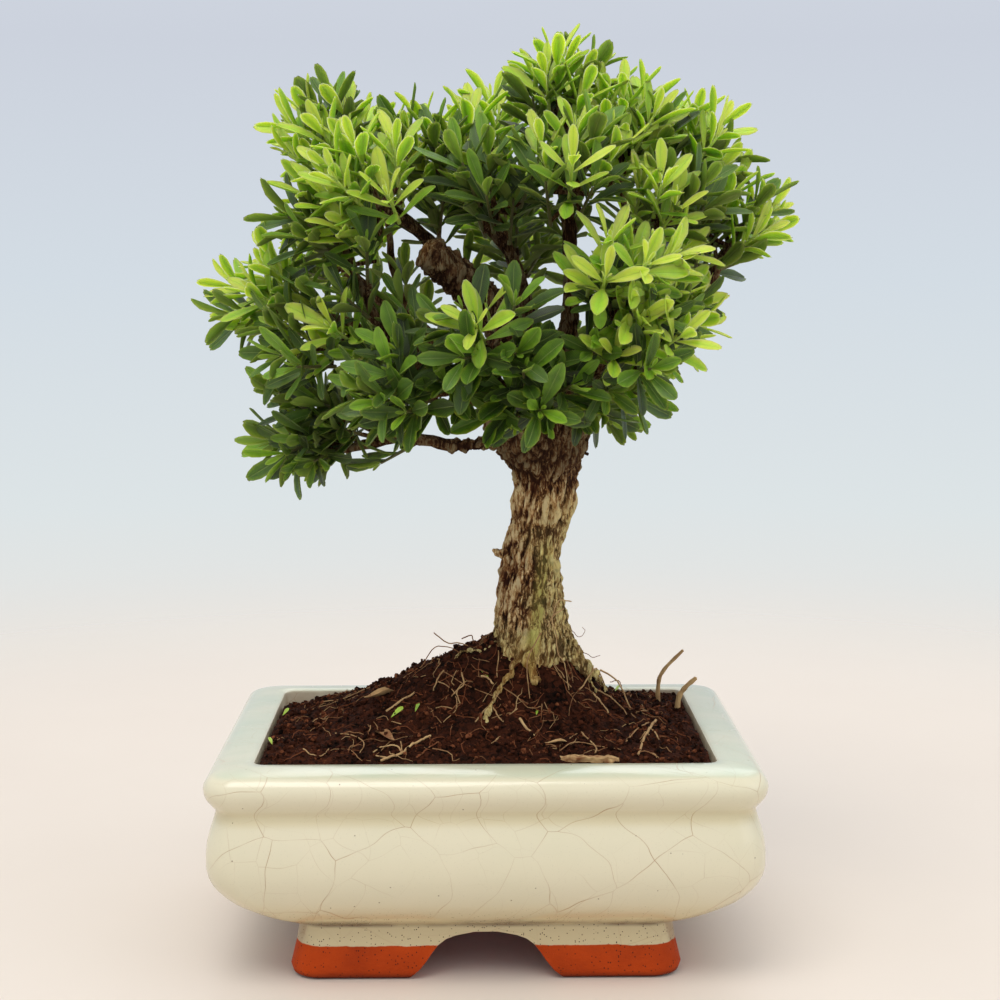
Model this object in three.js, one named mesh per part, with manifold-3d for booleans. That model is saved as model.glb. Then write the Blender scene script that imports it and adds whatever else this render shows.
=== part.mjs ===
// A boxwood bonsai in a glazed rectangular pot. Millimetres, +Z up, the pot standing on z = 0.
// Everything is modelled round the pot's middle, and the whole is centred on its own box at the end.
import * as THREE from "three";
import Module from "manifold-3d";
import { mergeVertices } from "three/addons/utils/BufferGeometryUtils.js";

const wasm = await Module();
wasm.setup();

// Sizes that drive the rest

const CLEARANCE = 0.3; // left between two pieces that touch
const GROWN = 0.35; // how much wider a hole in the soil is than the wood in it
const POT = { halfX: 90, halfY: 67.5, floor: 26, underside: 17, recessX: 53, recessY: 46 };
const DRAIN = { x: 32, radius: 6, sides: 12 };
const SCREEN = { half: 9, thick: 1.2, hole: 4.6, pitch: 6.4 };
const HEART = [12, 0, 200]; // the point that the crown spreads from
const PAD_SHOOTS = 8; // how many directions a pad shares out: each pad takes the first few
const SHOOT_FOOT = 5; // from a pad's middle to where a green shoot starts on its twig
const NODE_GAPS = [2.2, 3.5, 3.4, 3.3, 2.8]; // from a shoot's foot to its first pair of leaves, then pair to pair
const STEM_HALF = 0.75; // half the side of a shoot's square stem
const LEAF_FOOT = 1.5; // the length of stem that a leaf's foot takes
const BLADE_THICK = 0.8;
const YOUNG = { length: 16, width: 0.31 }; // a leaf's length, and its width as a share of that
const OLD = { length: 17.5, width: 0.33 };
const PROBE = 0.12; // how much a leaf is fattened to test what it would cross
const TRUNK_SIDES = 16;
const SEED = { pad: 11, leaf: 29, bark: 47, soil: 61 };

// The pot's outline from under the foot, up the outside, over the rim and down the inside: how far in from
// the widest line at the ends, the same at the front and back, corner radius, height
const POT_PROFILE = [
  [27.6, 12.4, 8, 0],
  [26.2, 10.9, 9, 3.5],
  [28, 12, 9, 11],
  [29.2, 12.8, 9, 18],
  [23, 10.2, 11, 19.3],
  [16.5, 7.9, 13, 21.2],
  [11, 5.6, 14, 23.8],
  [7, 3.7, 14, 26.4],
  [4.4, 2.4, 14, 28.9],
  [1.8, 1, 13, 32.6],
  [0.2, 0, 12, 38.5],
  [0.7, 0.6, 11.5, 47],
  [2.4, 2.3, 10.5, 53],
  [3.4, 3.3, 10, 56.4],
  [2.9, 2.9, 9.5, 58.2],
  [0.8, 0.8, 10, 61.2],
  [0, 0, 10, 64.8],
  [1, 1, 9.5, 67.6],
  [3.4, 3.4, 9, 69.6],
  [8, 8, 7.5, 70.5],
  [14.3, 14.3, 5, 70.8],
  [15.5, 15.5, 4.5, 69.6],
  [21, 21, 5, 28],
  [23, 23, 5, 26],
];

// The soil's outline, in the same terms, from its underside to its edge at the wall
const SOIL_PROFILE = [
  [23.4, 23.4, 6.2, 26.3],
  [21.4, 21.4, 6.2, 28.2],
  [16.7, 16.7, 5.8, 63],
];
const SOIL_SHARES = [1, 0.9, 0.72, 0.5, 0.28]; // the top's rings, as shares of its edge

// Height, x of the middle and radius of the trunk, from the stump in the soil to the head that the limbs leave
const TRUNK = [
  [58, 15, 7],
  [80, 15.5, 12.6],
  [97, 15.7, 14.4],
  [104.5, 16.1, 13.2],
  [113.4, 15.5, 12.1],
  [124, 16, 11],
  [134, 17.2, 10],
  [147, 20, 11],
  [157.7, 21, 11.7],
  [166.7, 19.4, 15.2],
  [176, 18.5, 18.2],
  [185, 19, 15.5],
  [192, 19.5, 8],
];

// Surface roots: the way each runs, and its radius at both ends
const ROOTS = [
  {
    path: [
      [12.5, -8, 106],
      [10, -11.5, 97],
      [9.2, -15.2, 92.6],
      [5.4, -18.5, 88.6],
      [1, -26, 81.6],
      [-0.6, -31.5, 76.6],
    ],
    from: 1.9,
    to: 0.9,
  },
  { path: [[14, -6, 107], [14, -11, 99], [15.5, -14.5, 93.5], [17.5, -17, 89]], from: 3.4, to: 2.2 },
  { path: [[24, -3, 109], [29.7, -4, 101.5], [35, -4, 92.2], [38.5, -4, 88.6], [42.5, -4, 83]], from: 2.6, to: 1.2 },
  { path: [[22, -6, 104], [27, -6, 96.5], [31, -4.5, 93.5], [35.5, -6, 88.5], [38.5, -9, 84]], from: 2.2, to: 1 },
  { path: [[24, 3, 102], [34, 7, 89], [46, 11, 76]], from: 2.6, to: 1.3 },
  { path: [[18, 9, 103], [20, 18, 90.5], [23, 30, 77]], from: 3, to: 1.3 },
  { path: [[8, 8, 102], [-2, 14, 93.5], [-15, 22, 83]], from: 2.6, to: 1.2 },
  { path: [[9, -2, 104], [0.3, -6, 97.6], [-4.3, -5, 98], [-8.8, -4.5, 96.6], [-12.5, -8, 92]], from: 1.6, to: 0.8 },
];

// Limbs: the way each takes out of the head, and its radius at both ends. All but the sawn stub run on into
// the pad that ends them.
const LIMBS = {
  low_left: { path: [[12, -2, 170], [-10, -7, 169], [-29, -10, 172], [-48, -11, 168]], from: 2.6, to: 1.3 },
  left: { path: [[14, -4, 176], [-4, -20, 186], [-16, -26, 193], [-27, -28, 202], [-37, -24, 215]], from: 3.4, to: 1.4 },
  stub: { path: [[17, -1, 184], [10, -8, 204], [-4, -15, 221], [-19, -22, 234]], from: 7.5, to: 6.2 },
  upper_left: { path: [[14, 2, 184], [4, 3, 208], [-8, 1, 226], [-28, 0, 246]], from: 4.2, to: 1.6 },
  centre: { path: [[19, 4, 184], [15, 7, 212], [7, 2, 236]], from: 3.8, to: 1.6 },
  top: { path: [[22, 1, 184], [29, 1, 212], [29, 0, 240], [26, 0, 262]], from: 4, to: 1.5 },
  upper_right: { path: [[24, 1, 182], [42, 2, 206], [58, 0, 234]], from: 4, to: 1.6 },
  right: { path: [[25, -2, 178], [47, -5, 193], [62, -7, 208], [74, -5, 221]], from: 4.2, to: 1.5 },
  front_right: { path: [[22, -6, 178], [33, -27, 190], [40, -40, 205]], from: 3.4, to: 1.5 },
  front: { path: [[18, -7, 176], [10, -27, 183], [4, -40, 192]], from: 3, to: 1.4 },
  back_left: { path: [[16, 6, 178], [-5, 27, 195], [-28, 41, 211]], from: 4, to: 1.6 },
  back_mid: { path: [[20, 7, 180], [18, 33, 203], [12, 52, 220]], from: 3.8, to: 1.5 },
  back_right: { path: [[24, 6, 178], [42, 27, 199], [55, 42, 216]], from: 3.8, to: 1.5 },
};

// Pads of leafage: the limb that each grows on and how far along it (1 is the limb's own end), its middle, how
// far its shoots reach from there, how many there are, and how many of those are this year's pale growth
const PADS = [
  { name: "left_tip", limb: "left", at: 0.56, middle: [-67, -5, 214], reach: 19, shoots: 2, young: 1 },
  { name: "left_mid", limb: "left", at: 0.44, middle: [-50, -22, 203], reach: 19, shoots: 2, young: 0 },
  { name: "left_low", limb: "low_left", at: 1, middle: [-53, -10, 173], reach: 18, shoots: 2, young: 0 },
  { name: "upper_left_low", limb: "left", at: 1, middle: [-47, -15, 238], reach: 19, shoots: 2, young: 1 },
  { name: "upper_left", limb: "upper_left", at: 1, middle: [-49, 0, 264], reach: 19, shoots: 3, young: 2 },
  { name: "upper_left_front", limb: "upper_left", at: 0.6, middle: [-34, -28, 249], reach: 19, shoots: 2, young: 2 },
  { name: "upper_mid_left", limb: "centre", at: 1, middle: [-15, 0, 259], reach: 19, shoots: 2, young: 1 },
  { name: "top", limb: "top", at: 1, middle: [25, 0, 279], reach: 19, shoots: 3, young: 2 },
  { name: "top_right", limb: "top", at: 0.65, middle: [46, -5, 266], reach: 19, shoots: 2, young: 2 },
  { name: "upper_right", limb: "upper_right", at: 1, middle: [66, 0, 262], reach: 18, shoots: 2, young: 2 },
  { name: "right", limb: "right", at: 1, middle: [83, 0, 236], reach: 17, shoots: 2, young: 1 },
  { name: "right_mid", limb: "upper_right", at: 0.5, middle: [57, -24, 241], reach: 19, shoots: 1, young: 0 },
  { name: "right_front", limb: "front_right", at: 1, middle: [42, -48, 221], reach: 20, shoots: 2, young: 2 },
  { name: "right_low_front", limb: "front_right", at: 0.55, middle: [49, -48, 199], reach: 19, shoots: 1, young: 1 },
  { name: "right_whorl", limb: "right", at: 0.55, middle: [55, -15, 206], reach: 16, shoots: 1, young: 1 },
  { name: "right_low", limb: "right", at: 0.27, middle: [36, -15, 190], reach: 17, shoots: 1, young: 0 },
  { name: "centre_front", limb: "front", at: 1, middle: [1, -50, 203], reach: 18, shoots: 2, young: 1 },
  { name: "centre_low", limb: "front", at: 0.35, middle: [15, -42, 184], reach: 18, shoots: 1, young: 0 },
  { name: "left_front_low", limb: "front", at: 0.45, middle: [-21, -42, 187], reach: 18, shoots: 2, young: 0 },
  { name: "centre_up", limb: "centre", at: 0.62, middle: [3, -22, 247], reach: 18, shoots: 1, young: 0 },
  { name: "front_mid", limb: "top", at: 0.5, middle: [29, -34, 252], reach: 18, shoots: 1, young: 0 },
  { name: "back_left", limb: "back_left", at: 1, middle: [-52, 49, 229], reach: 20, shoots: 2, young: 1 },
  { name: "back_left_low", limb: "back_left", at: 0.4, middle: [-32, 54, 192], reach: 19, shoots: 1, young: 0 },
  { name: "back_left_top", limb: "back_left", at: 0.55, middle: [-34, 38, 259], reach: 19, shoots: 1, young: 1 },
  { name: "back_mid", limb: "back_mid", at: 1, middle: [10, 64, 235], reach: 19, shoots: 2, young: 1 },
  { name: "back_top", limb: "back_mid", at: 0.45, middle: [3, 34, 271], reach: 19, shoots: 1, young: 1 },
  { name: "back_right", limb: "back_right", at: 1, middle: [63, 51, 230], reach: 19, shoots: 2, young: 1 },
  { name: "back_right_low", limb: "back_right", at: 0.4, middle: [43, 55, 191], reach: 18, shoots: 1, young: 0 },
  { name: "back_right_top", limb: "back_right", at: 0.5, middle: [47, 35, 265], reach: 19, shoots: 2, young: 1 },
];

// Bare ends of cut roots that stand out of the soil
const ROOT_ENDS = {
  root_end_tall: { path: [[63.8, 26, 60], [63.3, 26, 77], [65.2, 26, 83.5], [72.2, 26, 91]], from: 0.9, to: 0.6 },
  root_end_short: { path: [[69.6, 19, 60], [69.8, 19, 73.5], [72, 19, 78.4], [76.2, 19, 82.3]], from: 1.1, to: 0.8 },
};

// Litter on the soil: where each piece lies and how it is turned, its length, width and thickness
const LITTER = {
  dry_leaf_left: { x: -36, y: -11, turn: 0.6, length: 12.5, width: 5.5, thick: 0.7 },
  dry_leaf_front: { x: -33, y: -36.5, turn: 2.1, length: 12, width: 5, thick: 0.7 },
  bark_chip: { x: 33.4, y: -48.6, turn: 3.04, length: 19, width: 3.2, thick: 1.6 },
};

// Finishes

const finish = (color, roughness) => new THREE.MeshStandardMaterial({ color, roughness, metalness: 0 });
const GLAZE = finish(0xdfd3b7, 0.2);
const BARK = finish(0x7a5a40, 0.9);
const SOIL = finish(0x2e1710, 1);
const YOUNG_LEAF = finish(0x8cbf3a, 0.45);
const OLD_LEAF = finish(0x2f4f26, 0.4);
const PLASTIC = finish(0x1c1c1c, 0.7);
const DEAD_LEAF = finish(0x8a6c4e, 0.9);

// Helpers

const vec = (point) => new THREE.Vector3(...point);
const UP = vec([0, 0, 1]);
const mix = (a, b, t) => a + (b - a) * t;

// A number from 0 to 1 that depends only on its three keys
function draw(seed, i, j) {
  let h = Math.imul(seed + 1, 0x9e3779b1) ^ Math.imul(i + 1, 0x85ebca6b) ^ Math.imul(j + 1, 0xc2b2ae35);
  h = Math.imul(h ^ (h >>> 15), 0x2c1b3c6d);
  h = Math.imul(h ^ (h >>> 12), 0x297a2d39);
  return ((h ^ (h >>> 15)) >>> 0) / 4294967296;
}

const curveOf = (path) => new THREE.CatmullRomCurve3(path.map(vec), false, "catmullrom", 0.5);

// Two directions square to an axis and to each other
function across(axis) {
  const u = axis.clone().cross(Math.abs(axis.z) > 0.9 ? vec([1, 0, 0]) : UP).normalize();
  return [u, axis.clone().cross(u).normalize()];
}

// A closed skin over rings of points, each running anticlockwise as seen from the last ring
function loft(rings) {
  const sides = rings[0].length;
  const faces = [];
  for (let r = 0; r + 1 < rings.length; r++) {
    for (let i = 0; i < sides; i++) {
      const a = r * sides + i;
      const b = r * sides + ((i + 1) % sides);
      faces.push(a, b, b + sides, a, b + sides, a + sides);
    }
  }
  const last = (rings.length - 1) * sides;
  for (let i = 1; i + 1 < sides; i++) faces.push(0, i + 1, i, last, last + i, last + i + 1);
  return new THREE.BufferGeometry().setFromPoints(rings.flat()).setIndex(faces);
}

// A tube along points, its section carried along without twisting
function tube(points, radii, sides) {
  const ends = points.length - 1;
  let u;
  const rings = points.map((point, i) => {
    const heading = points[Math.min(ends, i + 1)].clone().sub(points[Math.max(0, i - 1)]).normalize();
    u = u ? u.clone().addScaledVector(heading, -u.dot(heading)).normalize() : across(heading)[0];
    const w = heading.clone().cross(u);
    return Array.from({ length: sides }, (_, k) => {
      const angle = (2 * Math.PI * k) / sides;
      const rim = point.clone().addScaledVector(u, radii[i] * Math.cos(angle));
      return rim.addScaledVector(w, radii[i] * Math.sin(angle));
    });
  });
  return loft(rings);
}

// A tube whose radius runs evenly from one end's to the other's
function taperedTube(points, from, to, sides) {
  const radii = points.map((_, i) => mix(from, to, i / (points.length - 1)));
  return solid(tube(points, radii, sides));
}

function solid(geometry) {
  const bare = new THREE.BufferGeometry().setAttribute("position", geometry.getAttribute("position"));
  bare.setIndex(geometry.index);
  const merged = mergeVertices(bare, 1e-4);
  const vertProperties = new Float32Array(merged.attributes.position.array);
  const triVerts = new Uint32Array(merged.index.array);
  return new wasm.Manifold(new wasm.Mesh({ numProp: 3, vertProperties, triVerts }));
}

function meshOf(name, shape, material) {
  const { vertProperties, triVerts } = shape.getMesh();
  const geometry = new THREE.BufferGeometry();
  geometry.setAttribute("position", new THREE.Float32BufferAttribute(vertProperties, 3));
  geometry.setIndex(Array.from(triVerts));
  const mesh = new THREE.Mesh(geometry, material);
  mesh.name = name;
  return mesh;
}

const union = (shapes) => shapes.reduce((a, b) => a.add(b));

// A convex outline raised from one level to another, laid out in the plane that place() gives
function prism(outline, from, to, place = (a, b, level) => [a, b, level]) {
  return solid(loft([from, to].map((level) => outline.map(([a, b]) => vec(place(a, b, level))))));
}

const square = (x, y, half) => [
  [x - half, y - half],
  [x + half, y - half],
  [x + half, y + half],
  [x - half, y + half],
];

// The pot

// A rectangle with round corners, its straight sides split, all points at one height
function roundedRing([inX, inY, corner, z], cornerSteps, splitX = 1, splitY = 1) {
  const [x, y] = [POT.halfX - inX - corner, POT.halfY - inY - corner];
  const middles = [[x, y], [-x, y], [-x, -y], [x, -y]];
  const ring = [];
  middles.forEach(([cx, cy], c) => {
    for (let i = 0; i <= cornerSteps; i++) {
      const angle = ((c + i / cornerSteps) * Math.PI) / 2;
      ring.push(vec([cx + corner * Math.cos(angle), cy + corner * Math.sin(angle), z]));
    }
    const splits = c % 2 ? splitY : splitX;
    const [nextX, nextY] = middles[(c + 1) % 4];
    const start = ring[ring.length - 1];
    for (let i = 1; i < splits; i++) {
      const step = vec([nextX - cx, nextY - cy, 0]).multiplyScalar(i / splits);
      ring.push(start.clone().add(step));
    }
  });
  return ring;
}

// Half the way through under the pot, from one foot to the other: half its width, height
const ARCH = [
  [1, -1],
  [1, 0],
  [0.78, 6],
  [0.62, 11.4],
  [0.4, 14.4],
  [0.15, 15.6],
];

function archway(half, from, to, place) {
  const side = ARCH.map(([share, z]) => [share * half, z]);
  const otherSide = side.map(([x, z]) => [-x, z]).reverse();
  return prism([...side, ...otherSide], from, to, place);
}

function pot() {
  const { recessX, recessY, underside } = POT;
  const recess = [[-recessX, -recessY], [recessX, -recessY], [recessX, recessY], [-recessX, recessY]];
  let body = solid(loft(POT_PROFILE.map((row) => roundedRing(row, 3))));
  body = body.subtract(prism(recess, -1, underside));
  body = body.subtract(archway(25, -80, 80, (x, z, y) => [x, -y, z]));
  body = body.subtract(archway(28, -100, 100, (y, z, x) => [x, y, z]));
  for (const side of [-1, 1]) {
    const hole = Array.from({ length: DRAIN.sides }, (_, i) => {
      const angle = (2 * Math.PI * (i + 0.5)) / DRAIN.sides;
      return [side * DRAIN.x + DRAIN.radius * Math.cos(angle), DRAIN.radius * Math.sin(angle)];
    });
    body = body.subtract(prism(hole, underside - 2, POT.floor + 2));
  }
  return body;
}

// The plastic net that lies over a drain hole and keeps the soil in
function drainScreen(side) {
  const middle = side * DRAIN.x;
  const low = POT.floor + CLEARANCE;
  let screen = prism(square(middle, 0, SCREEN.half), low, low + SCREEN.thick);
  for (const i of [-0.5, 0.5]) {
    for (const j of [-0.5, 0.5]) {
      const hole = square(middle + i * SCREEN.pitch, j * SCREEN.pitch, SCREEN.hole / 2);
      screen = screen.subtract(prism(hole, low - 1, low + SCREEN.thick + 1));
    }
  }
  return screen;
}

// The soil, heaped up round the trunk

// How high it is: a broad rise from the walls, a wide mound, a steep one at the trunk's foot, and a hollow at
// the back left
function soilHeight(x, y) {
  const rise = (1 - Math.min(1, Math.abs(x / 75) ** 4)) * (1 - Math.min(1, Math.abs(y / 52.5) ** 3));
  const mound = Math.exp(-(((x + 5.5) / 33) ** 2) - ((y - 1) / 24.5) ** 2);
  const foot = Math.exp(-(((x - 20) / 18.5) ** 2) - ((y - 1) / 18.5) ** 2);
  const hollow = Math.exp(-(((x + 70) / 16) ** 2) - ((y - 50) / 16) ** 2);
  return 68.8 + 7 * rise + 20 * mound + 16.5 * foot - 4 * hollow;
}

function soil(holes) {
  const rings = SOIL_PROFILE.map((row) => roundedRing(row, 2, 4, 3));
  const edge = rings[rings.length - 1];
  SOIL_SHARES.forEach((share, r) => {
    const ring = edge.map((point, i) => {
      const [x, y] = [share * point.x, share * point.y];
      return vec([x, y, soilHeight(x, y) + 1.6 * (draw(SEED.soil, r, i) - 0.5)]);
    });
    rings.push(ring);
  });
  const pockets = [-1, 1].map((side) => {
    const outline = square(side * DRAIN.x, 0, SCREEN.half + CLEARANCE);
    return prism(outline, POT.floor - 1, POT.floor + SCREEN.thick + 2 * CLEARANCE);
  });
  return solid(loft(rings)).subtract(holes).subtract(union(pockets));
}

// The wood, in one piece from the roots to the twigs. The same shapes, a little grown, cut its holes in the soil.

function trunk(grown) {
  const rings = TRUNK.map(([z, x, radius], r) =>
    Array.from({ length: TRUNK_SIDES }, (_, i) => {
      const angle = (2 * Math.PI * (i + 0.12 * r)) / TRUNK_SIDES;
      const ridge = (i % 2 ? 1 : -1) * (0.35 + 0.75 * draw(SEED.bark, r, i));
      const lump = 1 + 0.06 * Math.sin(3 * angle + r) + 0.05 * (draw(SEED.bark, i, r + 40) - 0.5);
      const reach = radius * lump + ridge + grown;
      return vec([x + reach * Math.cos(angle), reach * Math.sin(angle), r ? z : z - grown]);
    }),
  );
  return solid(loft(rings));
}

function root({ path, from, to }, grown) {
  const points = curveOf(path).getPoints(path.length);
  const last = points.length - 1;
  const heading = points[last].clone().sub(points[last - 1]).normalize();
  points[last].addScaledVector(heading, grown);
  return taperedTube(points, from + grown, to + grown, 5);
}

function rootEnd({ path, from, to }, grown) {
  const points = curveOf(path).getPoints(path.length - 1);
  const heading = points[1].clone().sub(points[0]).normalize();
  points[0].addScaledVector(heading, -grown);
  return taperedTube(points, from + grown, to + grown, 5);
}

const standing = (grown) => union([trunk(grown), ...ROOTS.map((way) => root(way, grown))]);

const endOf = (name) => PADS.find((pad) => pad.limb === name && pad.at === 1);

function limbCurve(name) {
  const pad = endOf(name);
  return curveOf(pad ? [...LIMBS[name].path, pad.middle] : LIMBS[name].path);
}

// The end face of the woody twig that carries a shoot
const twigEnd = (shoot) => shoot.foot.clone().addScaledVector(shoot.axis, -CLEARANCE);

// A limb up to the first shoot of its last pad
function limb(name, shoots) {
  const { path, from, to } = LIMBS[name];
  const pad = endOf(name);
  const points = limbCurve(name).getPoints(path.length + 1);
  if (!pad) return taperedTube(points, from, to, 8);
  const first = shoots.find((shoot) => shoot.pad === pad);
  const radii = points.map((_, i) => mix(from, to, i / (points.length - 1)));
  return solid(tube([...points, twigEnd(first)], [...radii, 1], 5));
}

// The branch from a limb to the first shoot of a pad at its side
function branch(pad, shoots) {
  const { from, to } = LIMBS[pad.limb];
  const curve = limbCurve(pad.limb);
  const start = curve.getPoint(pad.at);
  const middle = vec(pad.middle);
  const bend = start.clone().addScaledVector(curve.getTangent(pad.at), 0.4 * start.distanceTo(middle));
  const points = new THREE.QuadraticBezierCurve3(start, bend, middle).getPoints(3);
  const first = shoots.find((shoot) => shoot.pad === pad);
  const thick = Math.min(1.9, 0.8 * mix(from, to, pad.at));
  return solid(tube([...points, twigEnd(first)], [thick, mix(thick, 1.2, 0.4), mix(thick, 1.2, 0.7), 1.2, 1], 4));
}

// The twig from a pad's middle to one of its other shoots
const twig = (shoot) => taperedTube([vec(shoot.pad.middle), twigEnd(shoot)], 0.6, 1, 3);

// Green shoots

// The way a shoot points: round the way that its pad faces, and a little up
function shootAxis(pad, key, i) {
  const axis = vec(pad.middle).sub(vec(HEART)).normalize();
  const [u, w] = across(axis);
  const lean = 1.35 * Math.sqrt((i + 0.35 * draw(SEED.pad, key, i)) / PAD_SHOOTS);
  const round = 2.39996 * i + 2 * Math.PI * draw(SEED.pad, key, 50);
  axis.multiplyScalar(Math.cos(lean));
  axis.addScaledVector(u, Math.sin(lean) * Math.cos(round));
  axis.addScaledVector(w, Math.sin(lean) * Math.sin(round));
  return axis.addScaledVector(UP, 0.3).normalize();
}

function shootOf(pad, padKey, i) {
  const axis = shootAxis(pad, padKey, i);
  const stretch = (pad.reach - SHOOT_FOOT) / NODE_GAPS.reduce((a, b) => a + b);
  const nodes = NODE_GAPS.map((_, node) => stretch * NODE_GAPS.slice(0, node + 1).reduce((a, b) => a + b));
  return {
    name: `shoot_${pad.name}_${i + 1}`,
    pad,
    young: i < pad.young,
    key: padKey * 16 + i,
    axis,
    foot: vec(pad.middle).addScaledVector(axis, SHOOT_FOOT),
    nodes,
    heights: [0, ...nodes.flatMap((height) => [height - LEAF_FOOT / 2, height + LEAF_FOOT / 2])],
  };
}

const phaseOf = (shoot) => 2 * Math.PI * draw(SEED.leaf, shoot.key, 90);

// The direction out of a shoot's stem at one angle round it
function outOf(shoot, angle) {
  const [u, w] = across(shoot.axis);
  return u.multiplyScalar(Math.cos(angle)).addScaledVector(w, Math.sin(angle));
}

// The corners of the square stem at one height
function stemRing(shoot, height) {
  const middle = shoot.foot.clone().addScaledVector(shoot.axis, height);
  return [0, 1, 2, 3].map((k) => {
    const out = outOf(shoot, phaseOf(shoot) + ((k - 0.5) * Math.PI) / 2);
    return middle.clone().addScaledVector(out, Math.SQRT2 * STEM_HALF);
  });
}

// Half the outline of a blade: shares of its length, and of its width
const BLADE = [
  [0.4, 0.36],
  [0.73, 0.5],
  [0.96, 0.24],
];

// A leaf on one face of the stem at one node, turned and opened a little by bend
function leafOf(shoot, node, face, bend) {
  const key = shoot.key * 32 + node * 4 + face;
  const last = node === NODE_GAPS.length - 1;
  const { length, width } = shoot.young ? YOUNG : OLD;
  const turn = phaseOf(shoot) + (face * Math.PI) / 2;
  const open = (last ? 0.42 : 1.12 - 0.13 * node) + 0.22 * (draw(SEED.leaf, key, 1) - 0.5) + bend[1];
  const away = outOf(shoot, turn + bend[0] + 0.3 * (draw(SEED.leaf, key, 2) - 0.5));
  const foot = shoot.foot.clone().addScaledVector(shoot.axis, shoot.nodes[node]);
  const along = shoot.axis.clone().multiplyScalar(Math.cos(open)).addScaledVector(away, Math.sin(open));
  const side = shoot.axis.clone().cross(away).normalize();
  const long = length * (last ? 0.8 : 1) * (0.85 + 0.3 * draw(SEED.leaf, key, 3));
  return {
    node,
    face,
    foot: foot.addScaledVector(outOf(shoot, turn), STEM_HALF),
    along,
    side,
    normal: along.clone().cross(side),
    length: long,
    width: long * width,
  };
}

// A blade's outline from left to right round its tip, then the middle of its upper and under faces
function bladePoints({ foot, along, side, normal, length, width }, fatter) {
  const at = (share, x, rise) => {
    const point = foot.clone().addScaledVector(along, share * length).addScaledVector(side, x);
    return point.addScaledVector(normal, rise - 0.09 * length * share * share);
  };
  const left = BLADE.map(([share, wide]) => at(share, -wide * width - fatter, 0));
  const right = BLADE.map(([share, wide]) => at(share, wide * width + fatter, 0));
  const half = BLADE_THICK / 2 + fatter;
  return { outline: [...left, ...right.reverse()], upper: at(0.5, 0, half), under: at(0.5, 0, -half) };
}

// Adds points to a skin and gives their numbers
const addPoints = (skin, points) => points.map((point) => skin.points.push(point) - 1);

// Adds a leaf to a skin in place of one patch of stem, given the patch's four corners, anticlockwise
function addLeaf(skin, [lowLeft, lowRight, highRight, highLeft], blade) {
  const outline = addPoints(skin, blade.outline);
  const [upper, under] = addPoints(skin, [blade.upper, blade.under]);
  const top = [...outline, highRight, highLeft];
  const bottom = [...outline, lowRight, lowLeft];
  for (let i = 0; i < top.length; i++) {
    const next = (i + 1) % top.length;
    skin.faces.push(upper, top[i], top[next], under, bottom[next], bottom[i]);
  }
  skin.faces.push(lowLeft, outline[0], highLeft, lowRight, highRight, outline[outline.length - 1]);
}

const skinSolid = (skin) => solid(new THREE.BufferGeometry().setFromPoints(skin.points).setIndex(skin.faces));

// A whole shoot in one skin, each leaf standing in for the patch of stem that it grows from
function shootSolid(shoot, leaves) {
  const skin = { points: [], faces: [] };
  const rings = shoot.heights.map((height) => addPoints(skin, stemRing(shoot, height)));
  for (let r = 0; r + 1 < rings.length; r++) {
    for (let face = 0; face < 4; face++) {
      const next = (face + 1) % 4;
      const patch = [rings[r][face], rings[r][next], rings[r + 1][next], rings[r + 1][face]];
      const leaf = leaves.find((one) => r === 2 * one.node + 1 && one.face === face);
      if (leaf) addLeaf(skin, patch, bladePoints(leaf, 0));
      else skin.faces.push(patch[0], patch[1], patch[2], patch[0], patch[2], patch[3]);
    }
  }
  const [first, last] = [rings[0], rings[rings.length - 1]];
  skin.faces.push(first[0], first[2], first[1], first[0], first[3], first[2]);
  skin.faces.push(last[0], last[1], last[2], last[0], last[2], last[3]);
  return skinSolid(skin);
}

// A leaf by itself, a little fatter than it is, to test what it would cross
function leafProbe(shoot, leaf) {
  const skin = { points: [], faces: [] };
  const [low, high] = [-LEAF_FOOT / 2, LEAF_FOOT / 2].map((d) => stemRing(shoot, shoot.nodes[leaf.node] + d));
  const next = (leaf.face + 1) % 4;
  const patch = addPoints(skin, [low[leaf.face], low[next], high[next], high[leaf.face]]);
  addLeaf(skin, patch, bladePoints(leaf, PROBE));
  skin.faces.push(patch[0], patch[2], patch[1], patch[0], patch[3], patch[2]);
  return skinSolid(skin);
}

// Ways to bend a leaf aside: round the stem, and towards or away from it, in radians
const BENDS = [
  [0, 0],
  [0.35, 0],
  [-0.35, 0],
  [0, -0.25],
  [0, 0.3],
  [0.7, 0.1],
  [-0.7, 0.1],
  [0.4, -0.35],
  [-0.4, -0.35],
];

const boxed = (shape) => ({ shape, box: shape.boundingBox() });

function crosses(a, b) {
  const apart = [0, 1, 2].some((k) => a.box.min[k] > b.box.max[k] || b.box.min[k] > a.box.max[k]);
  return !apart && !a.shape.intersect(b.shape).isEmpty();
}

// Opposite pairs of leaves up each shoot, each pair square to the last, the top pairs first. A leaf that would
// cross something is bent aside, and one that can't be bent clear is left off.
function leavesOf(shoots, wood) {
  const stems = shoots.map((shoot) => boxed(shootSolid(shoot, [])));
  const taken = [boxed(wood), ...stems];
  const leaves = new Map(shoots.map((shoot) => [shoot, []]));
  for (let node = NODE_GAPS.length - 1; node >= 0; node--) {
    shoots.forEach((shoot, s) => {
      for (const face of node % 2 ? [1, 3] : [0, 2]) {
        for (const bend of BENDS) {
          const leaf = leafOf(shoot, node, face, bend);
          const probe = boxed(leafProbe(shoot, leaf));
          if (taken.some((other) => other !== stems[s] && crosses(probe, other))) continue;
          leaves.get(shoot).push(leaf);
          taken.push(probe);
          break;
        }
      }
    });
  }
  return leaves;
}

// Litter

const LITTER_OUTLINE = [
  [-0.5, 0],
  [-0.2, -0.36],
  [0.15, -0.5],
  [0.42, -0.28],
  [0.5, 0],
  [0.42, 0.28],
  [0.15, 0.5],
  [-0.2, 0.36],
];

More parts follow.
